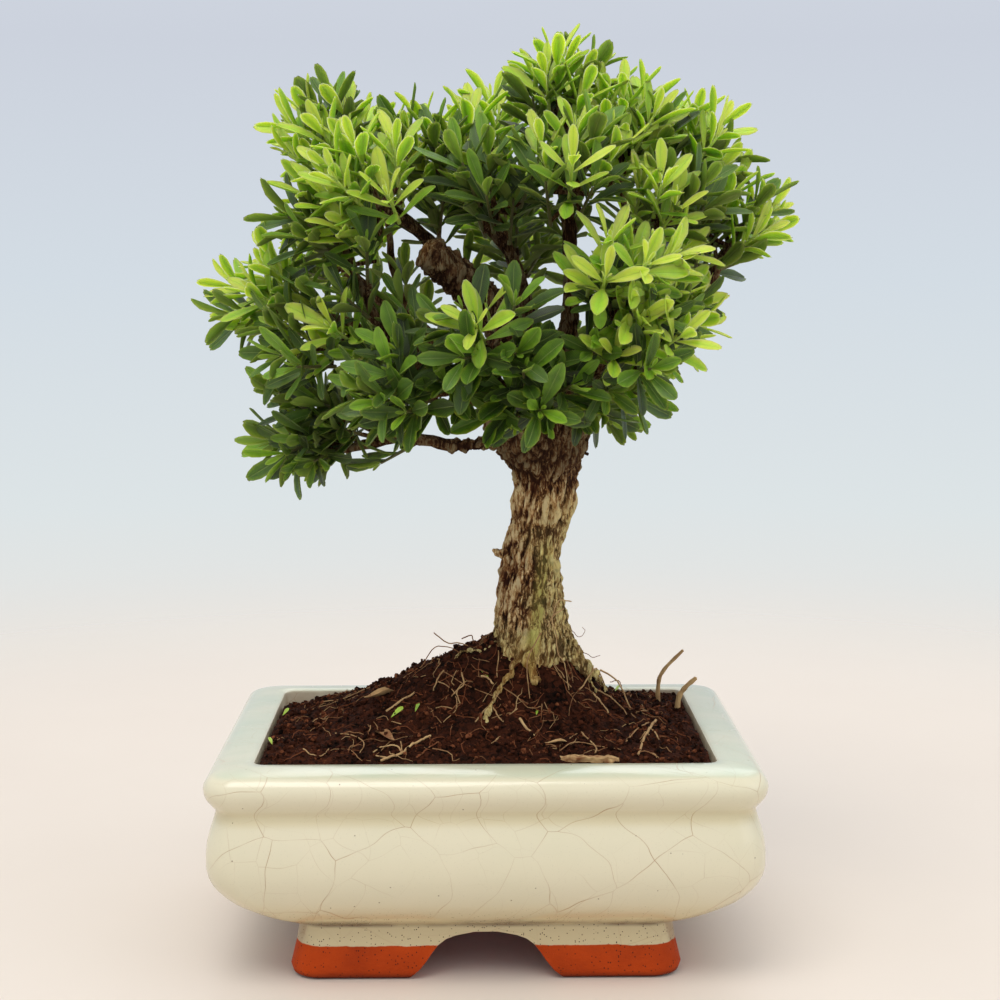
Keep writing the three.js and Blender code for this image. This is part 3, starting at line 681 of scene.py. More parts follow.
@dataclass(frozen=True)
class CeladonGlaze:
    """Crackled celadon over terracotta, which shows bare on the feet and under the pot.

    Attributes:
        body: The glaze on the walls.
        pooled: The glaze where it lies thick.
        thin: The darker, warmer glaze low on the body and in the groove under the rim.
        clay: The bare clay.
        glaze_foot: How high the glaze's lower edge is, in metres.
    """

    body: Colour = tint(223, 213, 184)
    pooled: Colour = tint(196, 202, 176)
    thin: Colour = tint(208, 190, 140)
    clay: Colour = tint(192, 68, 13)
    glaze_foot: float = 0.0112

    def material(self, effects: Effects) -> Material:
        """Builds the material."""
        m = MaterialSheet("celadon_over_terracotta", IOR=1.5)
        place = m.add("Mapping", {"Vector": m.place(), "Location": tuple(-POT_MIDDLE)}).outputs[0]
        x, y, z = m.add("SeparateXYZ", {0: place}).outputs
        up = m.add("SeparateXYZ", {0: m.add("NewGeometry").outputs["Normal"]}).outputs[2]
        cloud = effects.clouds(m, place, 38.0, 2.6)
        glaze = m.blend(m.times(cloud, 0.35), self.body, tint(214, 208, 176))
        pool = m.times(m.step(z, 0.0672, 0.0698), m.step(up, 0.78, 0.99))
        pool = m.times(pool, m.plus(0.35, m.times(cloud, 0.65)))
        glaze = m.blend(pool, glaze, self.pooled)
        # Darker, warmer glaze low on the body and in the groove under the rim.
        low = m.step(z, 0.032, 0.019)
        groove = m.times(m.step(z, 0.0525, 0.0555), m.step(z, 0.0595, 0.057))
        warm = m.plus(m.times(low, 0.7), m.times(groove, 0.45))
        glaze = m.blend(warm, glaze, self.thin)

        bent = m.add("SeparateXYZ", {0: m.warped(place, 30.0, 0.012)}).outputs
        flat = m.add("CombineXYZ", {0: m.plus(bent[0], bent[1]), 1: m.plus(bent[2], bent[1])}).outputs[0]
        edges = {"feature": "DISTANCE_TO_EDGE", "voronoi_dimensions": "2D"}
        wide, close = (
            m.add("TexVoronoi", {"Vector": flat, "Scale": scale}, **edges).outputs[0]
            for scale in (46.0, 96.0)
        )
        patch = effects.clouds(m, place, 26.0, 6.0)
        patch = m.times(patch, m.plus(0.3, m.times(low, 0.5)))
        cracks = m.sum("MAXIMUM", m.step(wide, 0.0065, 0.0015), m.times(m.step(close, 0.014, 0.003), patch))
        stain = effects.clouds(m, place, 60.0, 4.0)
        shown = m.times(cracks, m.plus(0.15, m.times(stain, 0.6)))
        glaze = m.blend(shown, glaze, tint(160, 112, 60))

        band = m.times(m.step(z, 0.0185, 0.0175), m.step(z, 0.0105, 0.0115))
        # Dark brown at the crease where the body overhangs the foot: grime, and painted shade under the
        # overhang.
        crease_grime_and_shade = m.times(m.step(z, 0.0168, 0.018), m.step(z, 0.0218, 0.0192))
        glaze = m.blend(m.times(band, 0.6), glaze, tint(196, 178, 138))
        glaze = m.blend(m.times(crease_grime_and_shade, m.plus(0.3, m.times(stain, 0.5))), glaze, tint(86, 54, 30))
        fine_specks = effects.spots(m, place, 1500.0, 0.3, 0.2)
        near_foot = m.plus(0.05, m.times(m.step(z, 0.028, 0.0165), 0.9))
        glaze = m.blend(m.times(fine_specks, near_foot), glaze, tint(70, 48, 34))
        pits = effects.spots(m, place, 260.0, 0.07, 0.25)
        glaze = m.blend(m.times(pits, 0.6), glaze, tint(96, 66, 46))

        wall = m.times(self._within(m, (x, y), (0.075, 0.0525), 0.0006), m.step(z, 0.0712, 0.0694))
        glaze = m.blend(m.times(wall, m.plus(0.3, m.times(stain, 0.4))), glaze, tint(140, 104, 72))

        ragged = m.plus(z, m.times(m.less(m.noise(place, 90.0, 4), 0.5), 0.0022))
        bare = m.step(ragged, self.glaze_foot + 0.0002, self.glaze_foot - 0.0002)
        beneath = m.times(m.step(up, -0.35, -0.6), m.step(z, 0.0178, 0.0172))
        hollow = m.times(self._within(m, (x, y), (0.0534, 0.0464), 0.0002), m.step(z, 0.0185, 0.018))
        bare = m.sum("MAXIMUM", bare, m.sum("MAXIMUM", beneath, hollow))

        grain = m.noise(place, 700.0, 5, 0.7)
        fired = effects.clouds(m, place, 55.0, 3.0)
        clay = m.blend(m.times(fired, 0.6), self.clay, tint(128, 36, 8))
        clay = m.blend(m.times(grain, 0.22), clay, tint(196, 82, 28))
        dark = effects.spots(m, m.stretched(place, 1, 1, 0.8), 1500.0, 0.34, 0.14)
        foot_line = m.step(z, 0.003, 0.0004)
        dirt = m.sum("MAXIMUM", m.times(dark, 0.8), m.times(foot_line, 0.6))
        clay = m.blend(dirt, clay, tint(58, 28, 18))

        gloss = m.plus(0.2, m.times(shown, 0.25))
        gloss = m.plus(gloss, m.times(wall, 0.3))
        m.join(Base_Color=m.blend(bare, glaze, clay), Roughness=m.between(bare, gloss, 0.62))
        m.join(Specular_IOR_Level=m.between(bare, 0.5, 0.12))
        m.join(Coat_Weight=m.times(m.less(1.0, bare), 0.2))
        rolling = m.times(m.noise(place, 55.0, 2), 0.6)
        skin_height = m.less(rolling, m.times(shown, 0.25))
        m.relief(m.between(bare, skin_height, grain), 0.6, 0.0005)
        return m.material

    @staticmethod
    def _within(m: Sheet, place: Sequence[Socket], reach: tuple[float, float], soft: float) -> Socket:
        """1 within an upright box round the middle and 0 outside it.

        Args:
            m: The material.
            place: The place along x and along y.
            reach: Half the box's length and depth, in metres.
            soft: Half the width of the step at its sides.

        Returns:
            The mask.
        """
        x, y = (m.step(m.sum("ABSOLUTE", at), far + soft, far - soft) for at, far in zip(place, reach))
        return m.times(x, y)


@dataclass(frozen=True)
class OldBark:
    """Fissured, flaking bark: brown in the cracks, tan on the crests, green with algae low on the right,
    dark under the crown with painted shadow.

    Attributes:
        crack: The colour deep in the cracks.
        flank: The colour of the bark between.
        crest: The colour of the worn crests.
        algae: The growth on the damp side.
        trunk: How far the trunk's middle is right of the pot's, in millimetres.
        algae_top: Below this height the algae is thick, in metres.
        crown_shadow_foot: Above this height, under the leaves, the bark is darkened with painted shadow
            from the crown, in metres.
    """

    crack: Colour = tint(40, 19, 9)
    flank: Colour = tint(152, 106, 64)
    crest: Colour = tint(255, 228, 172)
    algae: Colour = tint(234, 212, 124)
    trunk: float = 17.0
    algae_top: float = 0.15
    crown_shadow_foot: float = 0.15

    def material(self, effects: Effects) -> Material:
        """Builds the material.

        It reads relief, 0 in a crack to 1 on a crest, tone, 1 on pale new wood, and moss, 1 on green
        streaks.
        """
        m = MaterialSheet("old_bark", Roughness=0.9, Specular_IOR_Level=0.12)
        place = m.place()
        relief, tone = m.told("relief"), m.told("tone")
        fibre = m.group(effects.fibrous, {"Vector": place})
        crest = m.plus(m.times(relief, 0.6), m.times(fibre.outputs["Crest"], 0.66))
        patches = effects.clouds(m, place, 110.0, 3.2)
        crest = m.plus(crest, m.times(m.less(patches, 0.65), 0.36))
        stops = [
            (0.14, self.crack),
            (0.3, tint(66, 37, 21)),
            (0.47, self.flank),
            (0.61, tint(216, 170, 114)),
            (0.78, self.crest),
        ]
        bark = m.ramp(m.add("Clamp", {"Value": crest}).outputs[0], stops)
        rust = effects.clouds(m, place, 150.0, 4.0)
        bark = m.blend(m.times(rust, 0.3), bark, tint(104, 48, 24))

        x, _, z = m.add("SeparateXYZ", {0: place}).outputs
        side = m.less(x, POT_MIDDLE.x + self.trunk * MM)
        cloud = m.times(m.less(m.noise(place, 85.0, 4), 0.5), 0.03)
        damp = m.step(m.plus(side, cloud), -0.006, 0.006)
        low = m.step(m.plus(z, cloud), self.algae_top + 0.008, self.algae_top - 0.02)
        foot = m.step(m.plus(z, cloud), 0.112, 0.1)
        damp = m.times(m.sum("MAXIMUM", damp, foot), low)
        green = m.blend(m.step(m.noise(place, 320.0, 3), 0.4, 0.62), tint(138, 128, 66), self.algae)
        green = m.blend(fibre.outputs["Crest"], green, tint(250, 230, 160))
        on_crest = m.plus(0.12, m.times(m.step(crest, 0.32, 0.8), 0.72))
        bark = m.blend(m.times(damp, on_crest), bark, green)
        bark = m.blend(m.times(m.told("moss"), m.times(on_crest, 0.9)), bark, tint(206, 200, 100))

        sap = m.blend(fibre.outputs["Crest"], tint(150, 98, 44), tint(226, 180, 102))
        bark = m.blend(m.times(tone, 0.8), bark, sap)
        # Painted shadow from the crown: bark above the crown's foot is darkened, except on pale new wood.
        crown_shadow = m.times(m.step(z, self.crown_shadow_foot, self.crown_shadow_foot + 0.014), m.less(1.0, tone))
        bark = m.blend(m.times(crown_shadow, 0.72), bark, tint(52, 32, 20))
        m.join(Base_Color=bark)
        m.relief(fibre.outputs["Height"], 1.0, 0.0009)
        return m.material


@dataclass(frozen=True)
class DampPeat:
    """Dark red-brown peat with crumbs and bits of fibre.

    Attributes:
        damp: The usual colour.
        dry: The colour of dry crumbs.
        black: The colour of the darkest peat, and of the painted shade in the crevices between the crumbs.
    """

    damp: Colour = tint(58, 28, 16)
    dry: Colour = tint(142, 84, 54)
    black: Colour = tint(16, 7, 3)

    def material(self, effects: Effects) -> Material:
        """Builds the material. It reads tone, 0 on damp crumbs to 1 on the driest."""
        m = MaterialSheet("damp_peat", Roughness=0.95, Specular_IOR_Level=0.08)
        place, tone = m.place(), m.told("tone")
        cells = m.add("TexVoronoi", {"Vector": m.warped(place, 500.0, 0.0012), "Scale": 720.0})
        lot = m.add("SeparateColor", {"Color": cells.outputs["Color"]}).outputs[0]
        cloud = effects.clouds(m, place, 90.0, 2.2)
        shade = m.plus(m.times(lot, 0.42), m.times(cloud, 0.3))
        shade = m.plus(shade, m.less(m.times(tone, 0.7), 0.1))
        stops = [(0.05, self.black), (0.36, self.damp), (0.7, tint(84, 42, 24)), (1.0, self.dry)]
        peat = m.ramp(shade, stops)
        # Painted shade: the crevices between the crumbs, low in the relief, are darkened towards black.
        crevice_shade = m.step(cells.outputs["Distance"], 0.62, 0.95)
        peat = m.blend(m.times(crevice_shade, 0.7), peat, self.black)
        strands = m.noise(m.stretched(m.warped(place, 200.0, 0.01), 1, 0.12, 1), 1500.0, 2)
        strand = m.step(strands, 0.7, 0.74)
        peat = m.blend(m.times(strand, 0.5), peat, tint(140, 88, 54))
        m.join(Base_Color=peat)
        height = m.plus(m.times(cells.outputs["Distance"], -1.0), m.noise(place, 2600.0, 3))
        m.relief(height, 1.0, 0.0009)
        return m.material


@dataclass(frozen=True)
class LivingLeaf:
    """A boxwood leaf's skin, with a pale midrib and faint side veins.

    Attributes:
        name: What the material is called.
        gloss: Roughness of the upper face.
        wood: The colour of the stem.
        through: How much of the light passes into the blade and out again.
        spread: How far red, green and blue light spreads in the blade, as shares of its depth.
        depth: That depth, in metres.
    """

    name: str
    gloss: float
    wood: Colour
    through: float
    spread: Triple = (0.7, 1.0, 0.2)
    depth: float = 0.0022

    def material(self, effects: Effects) -> Material:
        """Builds the material.

        It reads age, 0 for a new leaf to 1 for an old one, and stem, 1 on the stem.
        """
        m = MaterialSheet(
            self.name,
            Specular_IOR_Level=0.35,
            Subsurface_Weight=self.through,
            Subsurface_Radius=self.spread,
            Subsurface_Scale=self.depth,
        )
        blade = m.add("UVMap", uv_map="blade").outputs[0]
        sockets = {"Blade Vector": blade, "Age": m.told("age"), "Place Vector": m.place()}
        leaf = m.group(effects.leaf_skin, sockets)
        m.join(Base_Color=m.blend(m.told("stem"), leaf.outputs["Skin Colour"], self.wood))
        matt = m.times(leaf.outputs["Under"], 0.25)
        film = m.times(m.noise(m.place(), 400.0, 3), 0.16)
        m.join(Roughness=m.plus(m.plus(self.gloss - 0.08, matt), film))
        m.relief(leaf.outputs["Height"], 0.5, 0.0003)
        return m.material


@dataclass(frozen=True)
class DeadLeaf:
    """A dry leaf or a strand of dead fibre, grey-brown and matt.

    Attributes:
        name: What the material is called.
        pale: The usual colour.
        brown: The colour of the stains.
    """

    name: str = "dead_leaf_and_fibre"
    pale: Colour = tint(206, 172, 120)
    brown: Colour = tint(112, 62, 36)

    def material(self, effects: Effects) -> Material:
        """Builds the material. It reads tone, 0 on pale to 1 on brown pieces."""
        m = MaterialSheet(self.name, Roughness=0.85, Specular_IOR_Level=0.15)
        place = m.place()
        cloud = effects.clouds(m, place, 320.0, 2.5)
        share = m.add("Clamp", {"Value": m.plus(m.times(cloud, 0.5), m.times(m.told("tone"), 0.7))})
        dots = effects.spots(m, place, 1300.0, 0.35, 0.12)
        brown = m.blend(share.outputs[0], self.pale, self.brown)
        m.join(Base_Color=m.blend(m.times(dots, 0.5), brown, tint(60, 38, 26)))
        m.relief(m.noise(place, 1600.0, 4), 0.5, 0.0004)
        return m.material


@dataclass(frozen=True)
class MouldedNet:
    """The black plastic of the drain screens, scuffed and dusty.

    Attributes:
        plastic: The plastic's colour.
        dust: The dust's colour.
    """

    plastic: Colour = tint(34, 34, 36)
    dust: Colour = tint(96, 78, 62)

    def material(self, effects: Effects) -> Material:
        """Builds the material."""
        m = MaterialSheet("moulded_net", Specular_IOR_Level=0.4)
        place = m.place()
        cloud = effects.clouds(m, place, 260.0, 3.0)
        m.join(Base_Color=m.blend(m.times(cloud, 0.5), self.plastic, self.dust))
        m.join(Roughness=m.plus(0.5, m.times(cloud, 0.35)))
        m.relief(m.noise(place, 1800.0, 3), 0.3, 0.0002)
        return m.material


# ---- The pot ----


@dataclass
class GlazedPot:
    """The rectangular pot on cut-out feet.

    Attributes:
        half_x: Half its length.
        half_y: Half its depth.
        quarter: How many points go round one corner.
        profile: Its outline from under the foot, up the outside, over the rim and down the inside: how
            far in from the widest line at the ends, the same at the front and back, corner radius, height.
        curved: The first and last row of the profile that a smooth curve joins.
        steps: How many rows that curve puts between two given ones.
        arch: Half the way through between two feet: share of its half width, height.
        arch_halves: Half the width of the ways through, front to back and side to side.
        reach: Half the length of the shapes that cut them, which is more than the pot's.
        recess: Half the length and depth of the hollow underneath, and its height.
        drain: How far the drain holes are from the middle, and their radius.
        edge: How far cut edges are rounded.
        top: How high its rim is.
    """

    half_x: float = 90
    half_y: float = 67.5
    quarter: int = 8
    profile: tuple[tuple[float, float, float, float], ...] = (
        (28.4, 13.2, 8, 0),
        (26.9, 11.6, 8.6, 1.1),
        (26.2, 10.9, 9, 3.5),
        (28, 12, 9, 11),
        (29.2, 12.8, 9, 18),
        (23, 10.2, 11, 19.3),
        (16.5, 7.9, 13, 21.2),
        (11, 5.6, 14, 23.8),
        (7, 3.7, 14, 26.4),
        (4.4, 2.4, 14, 28.9),
        (1.8, 1, 13, 32.6),
        (0.2, 0, 12, 38.5),
        (0.7, 0.6, 11.5, 47),
        (2.4, 2.3, 10.5, 53),
        (3.4, 3.3, 10, 56.4),
        (2.9, 2.9, 9.5, 58.2),
        (0.8, 0.8, 10, 61.2),
        (0, 0, 10, 64.8),
        (1, 1, 9.5, 67.6),
        (3.4, 3.4, 9, 69.6),
        (8, 8, 7.5, 70.5),
        (14.3, 14.3, 5, 70.8),
        (15.5, 15.5, 4.5, 69.6),
        (21, 21, 5, 28),
        (23, 23, 5, 26),
    )
    curved: tuple[int, int] = (5, 22)
    steps: int = 2
    arch: tuple[tuple[float, float], ...] = (
        (1.06, 0),
        (0.95, 1.4),
        (0.88, 3),
        (0.78, 6),
        (0.7, 8.9),
        (0.62, 11.4),
        (0.52, 13.3),
        (0.4, 14.4),
        (0.15, 15.6),
    )
    arch_halves: tuple[float, float] = (25, 28)
    reach: float = 120
    recess: Triple = (53, 46, 17)
    drain: tuple[float, float] = (32, 6)
    edge: float = 0.5
    top: float = 70.8

    def make(self, effects: Effects) -> None:
        """Builds the pot and dresses it and its drain screens."""
        pot = self._raised()
        self._cut_under(pot)
        sharp = {"limit_method": "ANGLE", "angle_limit": math.radians(42)}
        modify(pot, "BEVEL", width=self.edge, segments=2, **sharp)
        finish(pot, 35, CeladonGlaze().material(effects), ["pot"])
        net = MouldedNet().material(effects)
        for side in ("left", "right"):
            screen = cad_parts[f"drain_screen_{side}"]
            screen.data.materials.clear()
            screen.data.materials.append(net)
            log.info("%s keeps its solid", screen.name)

    def _rows(self) -> np.ndarray:
        """The profile with its curved stretch drawn finer, never wider than the widest line."""
        first, last = self.curved
        rows = [np.array(row, float) for row in self.profile]
        bend = Way(self.profile[first : last + 1])
        fine = bend.points((last - first) * self.steps)
        fine[:, :2] = np.maximum(fine[:, :2], 0)
        fine[:, 3] = np.minimum(fine[:, 3], self.top)
        return np.array([*rows[:first], *fine, *rows[last + 1 :]])

    def _raised(self) -> Piece:
        """A round outline, its quarters drawn apart to the corners, extruded row by row into a wall."""
        rows = self._rows()
        start = self._turns(rows[0])
        radius = start[2]
        bpy.ops.mesh.primitive_circle_add(vertices=4 * self.quarter, radius=radius, fill_type="NGON")
        pot = fresh("glazed_pot")
        with Editing(pot) as edit:
            edit.pick_all()
            edit.turn(math.pi / 4 / self.quarter)
            ring = edit.picked()
            self._corners(edit, ring, (0, 0, radius), start)
            for before, after in zip(rows, rows[1:]):
                edit.pick(lambda _: True, ring)
                edit.extrude(z=after[3] - before[3])
                ring = edit.picked()
                self._corners(edit, ring, self._turns(before), self._turns(after))
            edit.face_out()
        return pot

    def _turns(self, row: np.ndarray) -> Triple:
        """How far out the middles of a row's corners are, along x and y, and their radius."""
        in_x, in_y, corner, _ = row
        return self.half_x - in_x - corner, self.half_y - in_y - corner, corner

    @staticmethod
    def _corners(edit: Editing, ring: list[int], old: Triple, new: Triple) -> None:
        """Moves each quarter of a ring to its new corner and radius.

        Args:
            edit: The pot in edit mode.
            ring: The ring's points.
            old: How far out its corners' middles are, along x and y, and their radius.
            new: The same as it should be.
        """
        for sx in (-1, 1):
            for sy in (-1, 1):
                edit.pick(lambda co: co.x * sx > 0 and co.y * sy > 0, ring)
                grow = new[2] / old[2]
                edit.scale(grow, grow, 1, (sx * old[0], sy * old[1], 0))
                edit.move(sx * (new[0] - old[0]), sy * (new[1] - old[1]))

    def _cut_under(self, pot: Piece) -> None:
        """Cuts the hollow underneath, the ways between the feet and the drain holes."""
        cut_away(pot, self._block("hollow", *self.recess))
        for half, turned in zip(self.arch_halves, (False, True)):
            cut_away(pot, self._archway(half, turned))
        away, radius = self.drain
        for side in (-1, 1):
            place = (side * away, 0, 22)
            bpy.ops.mesh.primitive_cylinder_add(vertices=24, radius=radius, depth=14, location=place)
            cut_away(pot, fresh("drain"))

    @staticmethod
    def _block(name: str, half_x: float, half_y: float, top: float) -> Piece:
        """A block from 2 mm below the ground up to a height."""
        size = (2 * half_x, 2 * half_y, top + 2)
        bpy.ops.mesh.primitive_cube_add(size=1, location=(0, 0, top / 2 - 1), scale=size)
        return fixed(name)

    def _archway(self, half: float, turned: bool) -> Piece:
        """The shape of a way through between two feet.

        Args:
            half: Half its width at the ground.
            turned: True if it runs from side to side.

        Returns:
            The cutter.
        """
        cutter = self._block("archway", half, self.reach, self.arch[-1][1])
        with Editing(cutter) as edit:
            for _, z in self.arch[1:-1]:
                edit.pick_all()
                bpy.ops.mesh.bisect(plane_co=(0, 0, z), plane_no=(0, 0, 1))
            for share, z in self.arch:
                edit.pick(lambda co: abs(co.z - z) < NEAR or z == 0 and co.z < 0)
                edit.scale(share, 1, 1, (0, 0, z))
            if turned:
                edit.pick_all()
                edit.turn(math.pi / 2)
        return cutter


# ---- The soil ----


@dataclass(frozen=True)
class LooseRoot:
    """A thin root, a bit of stick or a hair-thin one.

    Attributes:
        path: The places that it goes through: on the soil, or at the height that a third number gives.
        thick: Its radius at both ends.
        tone: 0 for cream to 1 for brown.
    """

    path: tuple[tuple[float, ...], ...]
    thick: tuple[float, float] = (0.4, 0.25)
    tone: float = 0.3

    def line(self) -> np.ndarray:
        """Points along it, with the small bends of a root."""
        placed = [p if len(p) == 3 else (*p, SoilHeap.surface(*p) + 0.55) for p in self.path]
        line = Way(tuple(placed)).points(5 * (len(placed) - 1))
        for i, point in enumerate(line[1:-1]):
            point += 0.35 * np.array(noise.noise_vector(Vector((i / 1.7, *self.path[0][:2]))))
        return line


LOOSE_ROOTS = (
    LooseRoot(
        ((-34, -48.5), (-31.8, -46.8), (-27.2, -44.8), (-24.2, -41), (-21.7, -38.8), (-18.1, -36.8)),
        (0.75, 0.6),
        0.0,
    ),
    LooseRoot(((-31.8, -46.8), (-36.5, -45.8)), (0.5, 0.4), 0.1),
    LooseRoot(((-27.2, -44.8), (-29.4, -41.2), (-34.1, -41.2), (-36.6, -44)), (0.5, 0.35), 0.1),
    LooseRoot(((-27.2, -44.8), (-27.9, -40)), (0.4, 0.3), 0.2),
    LooseRoot(((-22.5, -48), (-19, -44), (-15.4, -39.8)), (0.55, 0.35), 1.0),
    LooseRoot(((-33.4, -21), (-28, -17.6), (-23.9, -15.8)), (0.65, 0.5), 0.1),
    LooseRoot(((-1.3, -14.8), (1, -16.2), (2.7, -18)), (0.6, 0.5), 0.1),
    LooseRoot(((11.4, -29.3), (13.5, -32.6), (15.9, -36.8)), (0.75, 0.65), 0.0),
    LooseRoot(((31.6, -31.3), (34, -36.8), (36.2, -41), (35.4, -46)), (0.45, 0.4), 0.3),
    LooseRoot(((31.6, -31.3), (29, -34.4), (27.6, -38)), (0.35, 0.25), 0.4),
    LooseRoot(((58.8, -10.2), (56.6, -18), (53.7, -29), (49.5, -44.5)), (0.8, 0.65), 0.15),
    LooseRoot(((55.4, -20), (56.9, -27), (57.5, -33.2)), (0.5, 0.35), 0.2),
    LooseRoot(((55.7, -16.2), (51.2, -26), (46.3, -36.8)), (0.4, 0.3), 0.3),
    LooseRoot(((4.4, -20.5), (0.1, -25.2), (-3.4, -32)), (0.6, 0.35), 0.25),
    LooseRoot(((2.3, -24.5), (4, -27.8), (5.9, -30.8)), (0.45, 0.35), 0.2),
    LooseRoot(((6, -18.6), (11, -22), (15, -25), (18.6, -24)), (0.3, 0.25), 0.6),
    LooseRoot(((37.1, -9.8), (39.4, -12.8), (41.8, -17.8)), (0.6, 0.4), 0.1),
    LooseRoot(((32, -13.5), (34.3, -9), (38.6, -4.2, 91), (43.4, 0.5)), (0.5, 0.35), 0.2),
    LooseRoot(((38, -6.5), (42.5, -4.6), (47, -8.6), (49, -14)), (0.45, 0.3), 0.2),
    LooseRoot(((40, -4, 90.5), (46, -4, 86.4), (50.5, -5)), (0.55, 0.4), 0.1),
    LooseRoot(
        ((29.6, -8, 115.3), (25.2, -11.5, 116.2), (22.7, -14.6, 111.4), (21.1, -14.6, 107.9)),
        (0.35, 0.3),
        0.0,
    ),
    LooseRoot(
        (
            (26.7, -11.5, 113.4),
            (22.7, -14.6, 110.8),
            (24, -15, 106.1),
            (24.7, -14.5, 99),
            (27, -14.5, 95),
            (28.5, -16),
        ),
        (0.4, 0.25),
        0.0,
    ),
    LooseRoot(((19, -16, 106), (16, -18, 101), (14, -19.5, 96), (15, -22)), (0.35, 0.25), 0.3),
    LooseRoot(((-17.7, 0, 103), (-13.3, 0, 99.5), (-9, 0, 99.4), (-6, -1)), (0.35, 0.35), 0.5),
    LooseRoot(((-8, 0, 100.8), (-4.6, 0, 102), (-4, 0, 99)), (0.35, 0.3), 0.8),
    LooseRoot(((-22, -4), (-17.3, -2, 98.2), (-12, -1, 97.8), (-8.5, -4)), (0.3, 0.25), 0.7),
    LooseRoot(((-12.5, -8, 92), (-15.4, -12), (-17.6, -17)), (0.6, 0.3), 0.3),
    LooseRoot(((-16, -14), (-11.5, -18.5), (-9.5, -24), (-14, -30)), (0.3, 0.2), 0.3),
    LooseRoot(((-14, -11), (-6, -18), (3, -21.5)), (0.3, 0.25), 0.6),
    LooseRoot(((-8, -13), (-7.4, -17), (-9.6, -19.5), (-8.5, -23)), (0.45, 0.3), 0.2),
    LooseRoot(((30, -2, 104.2), (32.5, -2, 101.7), (34.7, -2, 103.5), (33.8, -2, 105.2)), (0.2, 0.12), 0.9),
    LooseRoot(((33.5, -3, 97), (37.4, -4, 95), (39.9, -4, 95.6)), (0.22, 0.15), 1.0),
    LooseRoot(((43.4, -4, 86.2), (46.4, -4, 86.6), (47.4, -4, 84.6)), (0.25, 0.2), 0.9),
    LooseRoot(((-59.7, -40), (-56.9, -43), (-53.1, -44.8), (-51.5, -38.8)), (0.35, 0.3), 0.2),
    LooseRoot(((-50, -30), (-44, -33), (-40, -38), (-41, -44)), (0.3, 0.25), 0.2),
    LooseRoot(((24, -44), (29, -40), (38, -39.5), (44, -43)), (0.3, 0.25), 0.5),
    LooseRoot(((-58, 12), (-50, 6), (-43, 8), (-36, 2)), (0.35, 0.25), 0.3),
    LooseRoot(((30, 38), (22, 42), (14, 38), (4, 41)), (0.35, 0.25), 0.3),
)


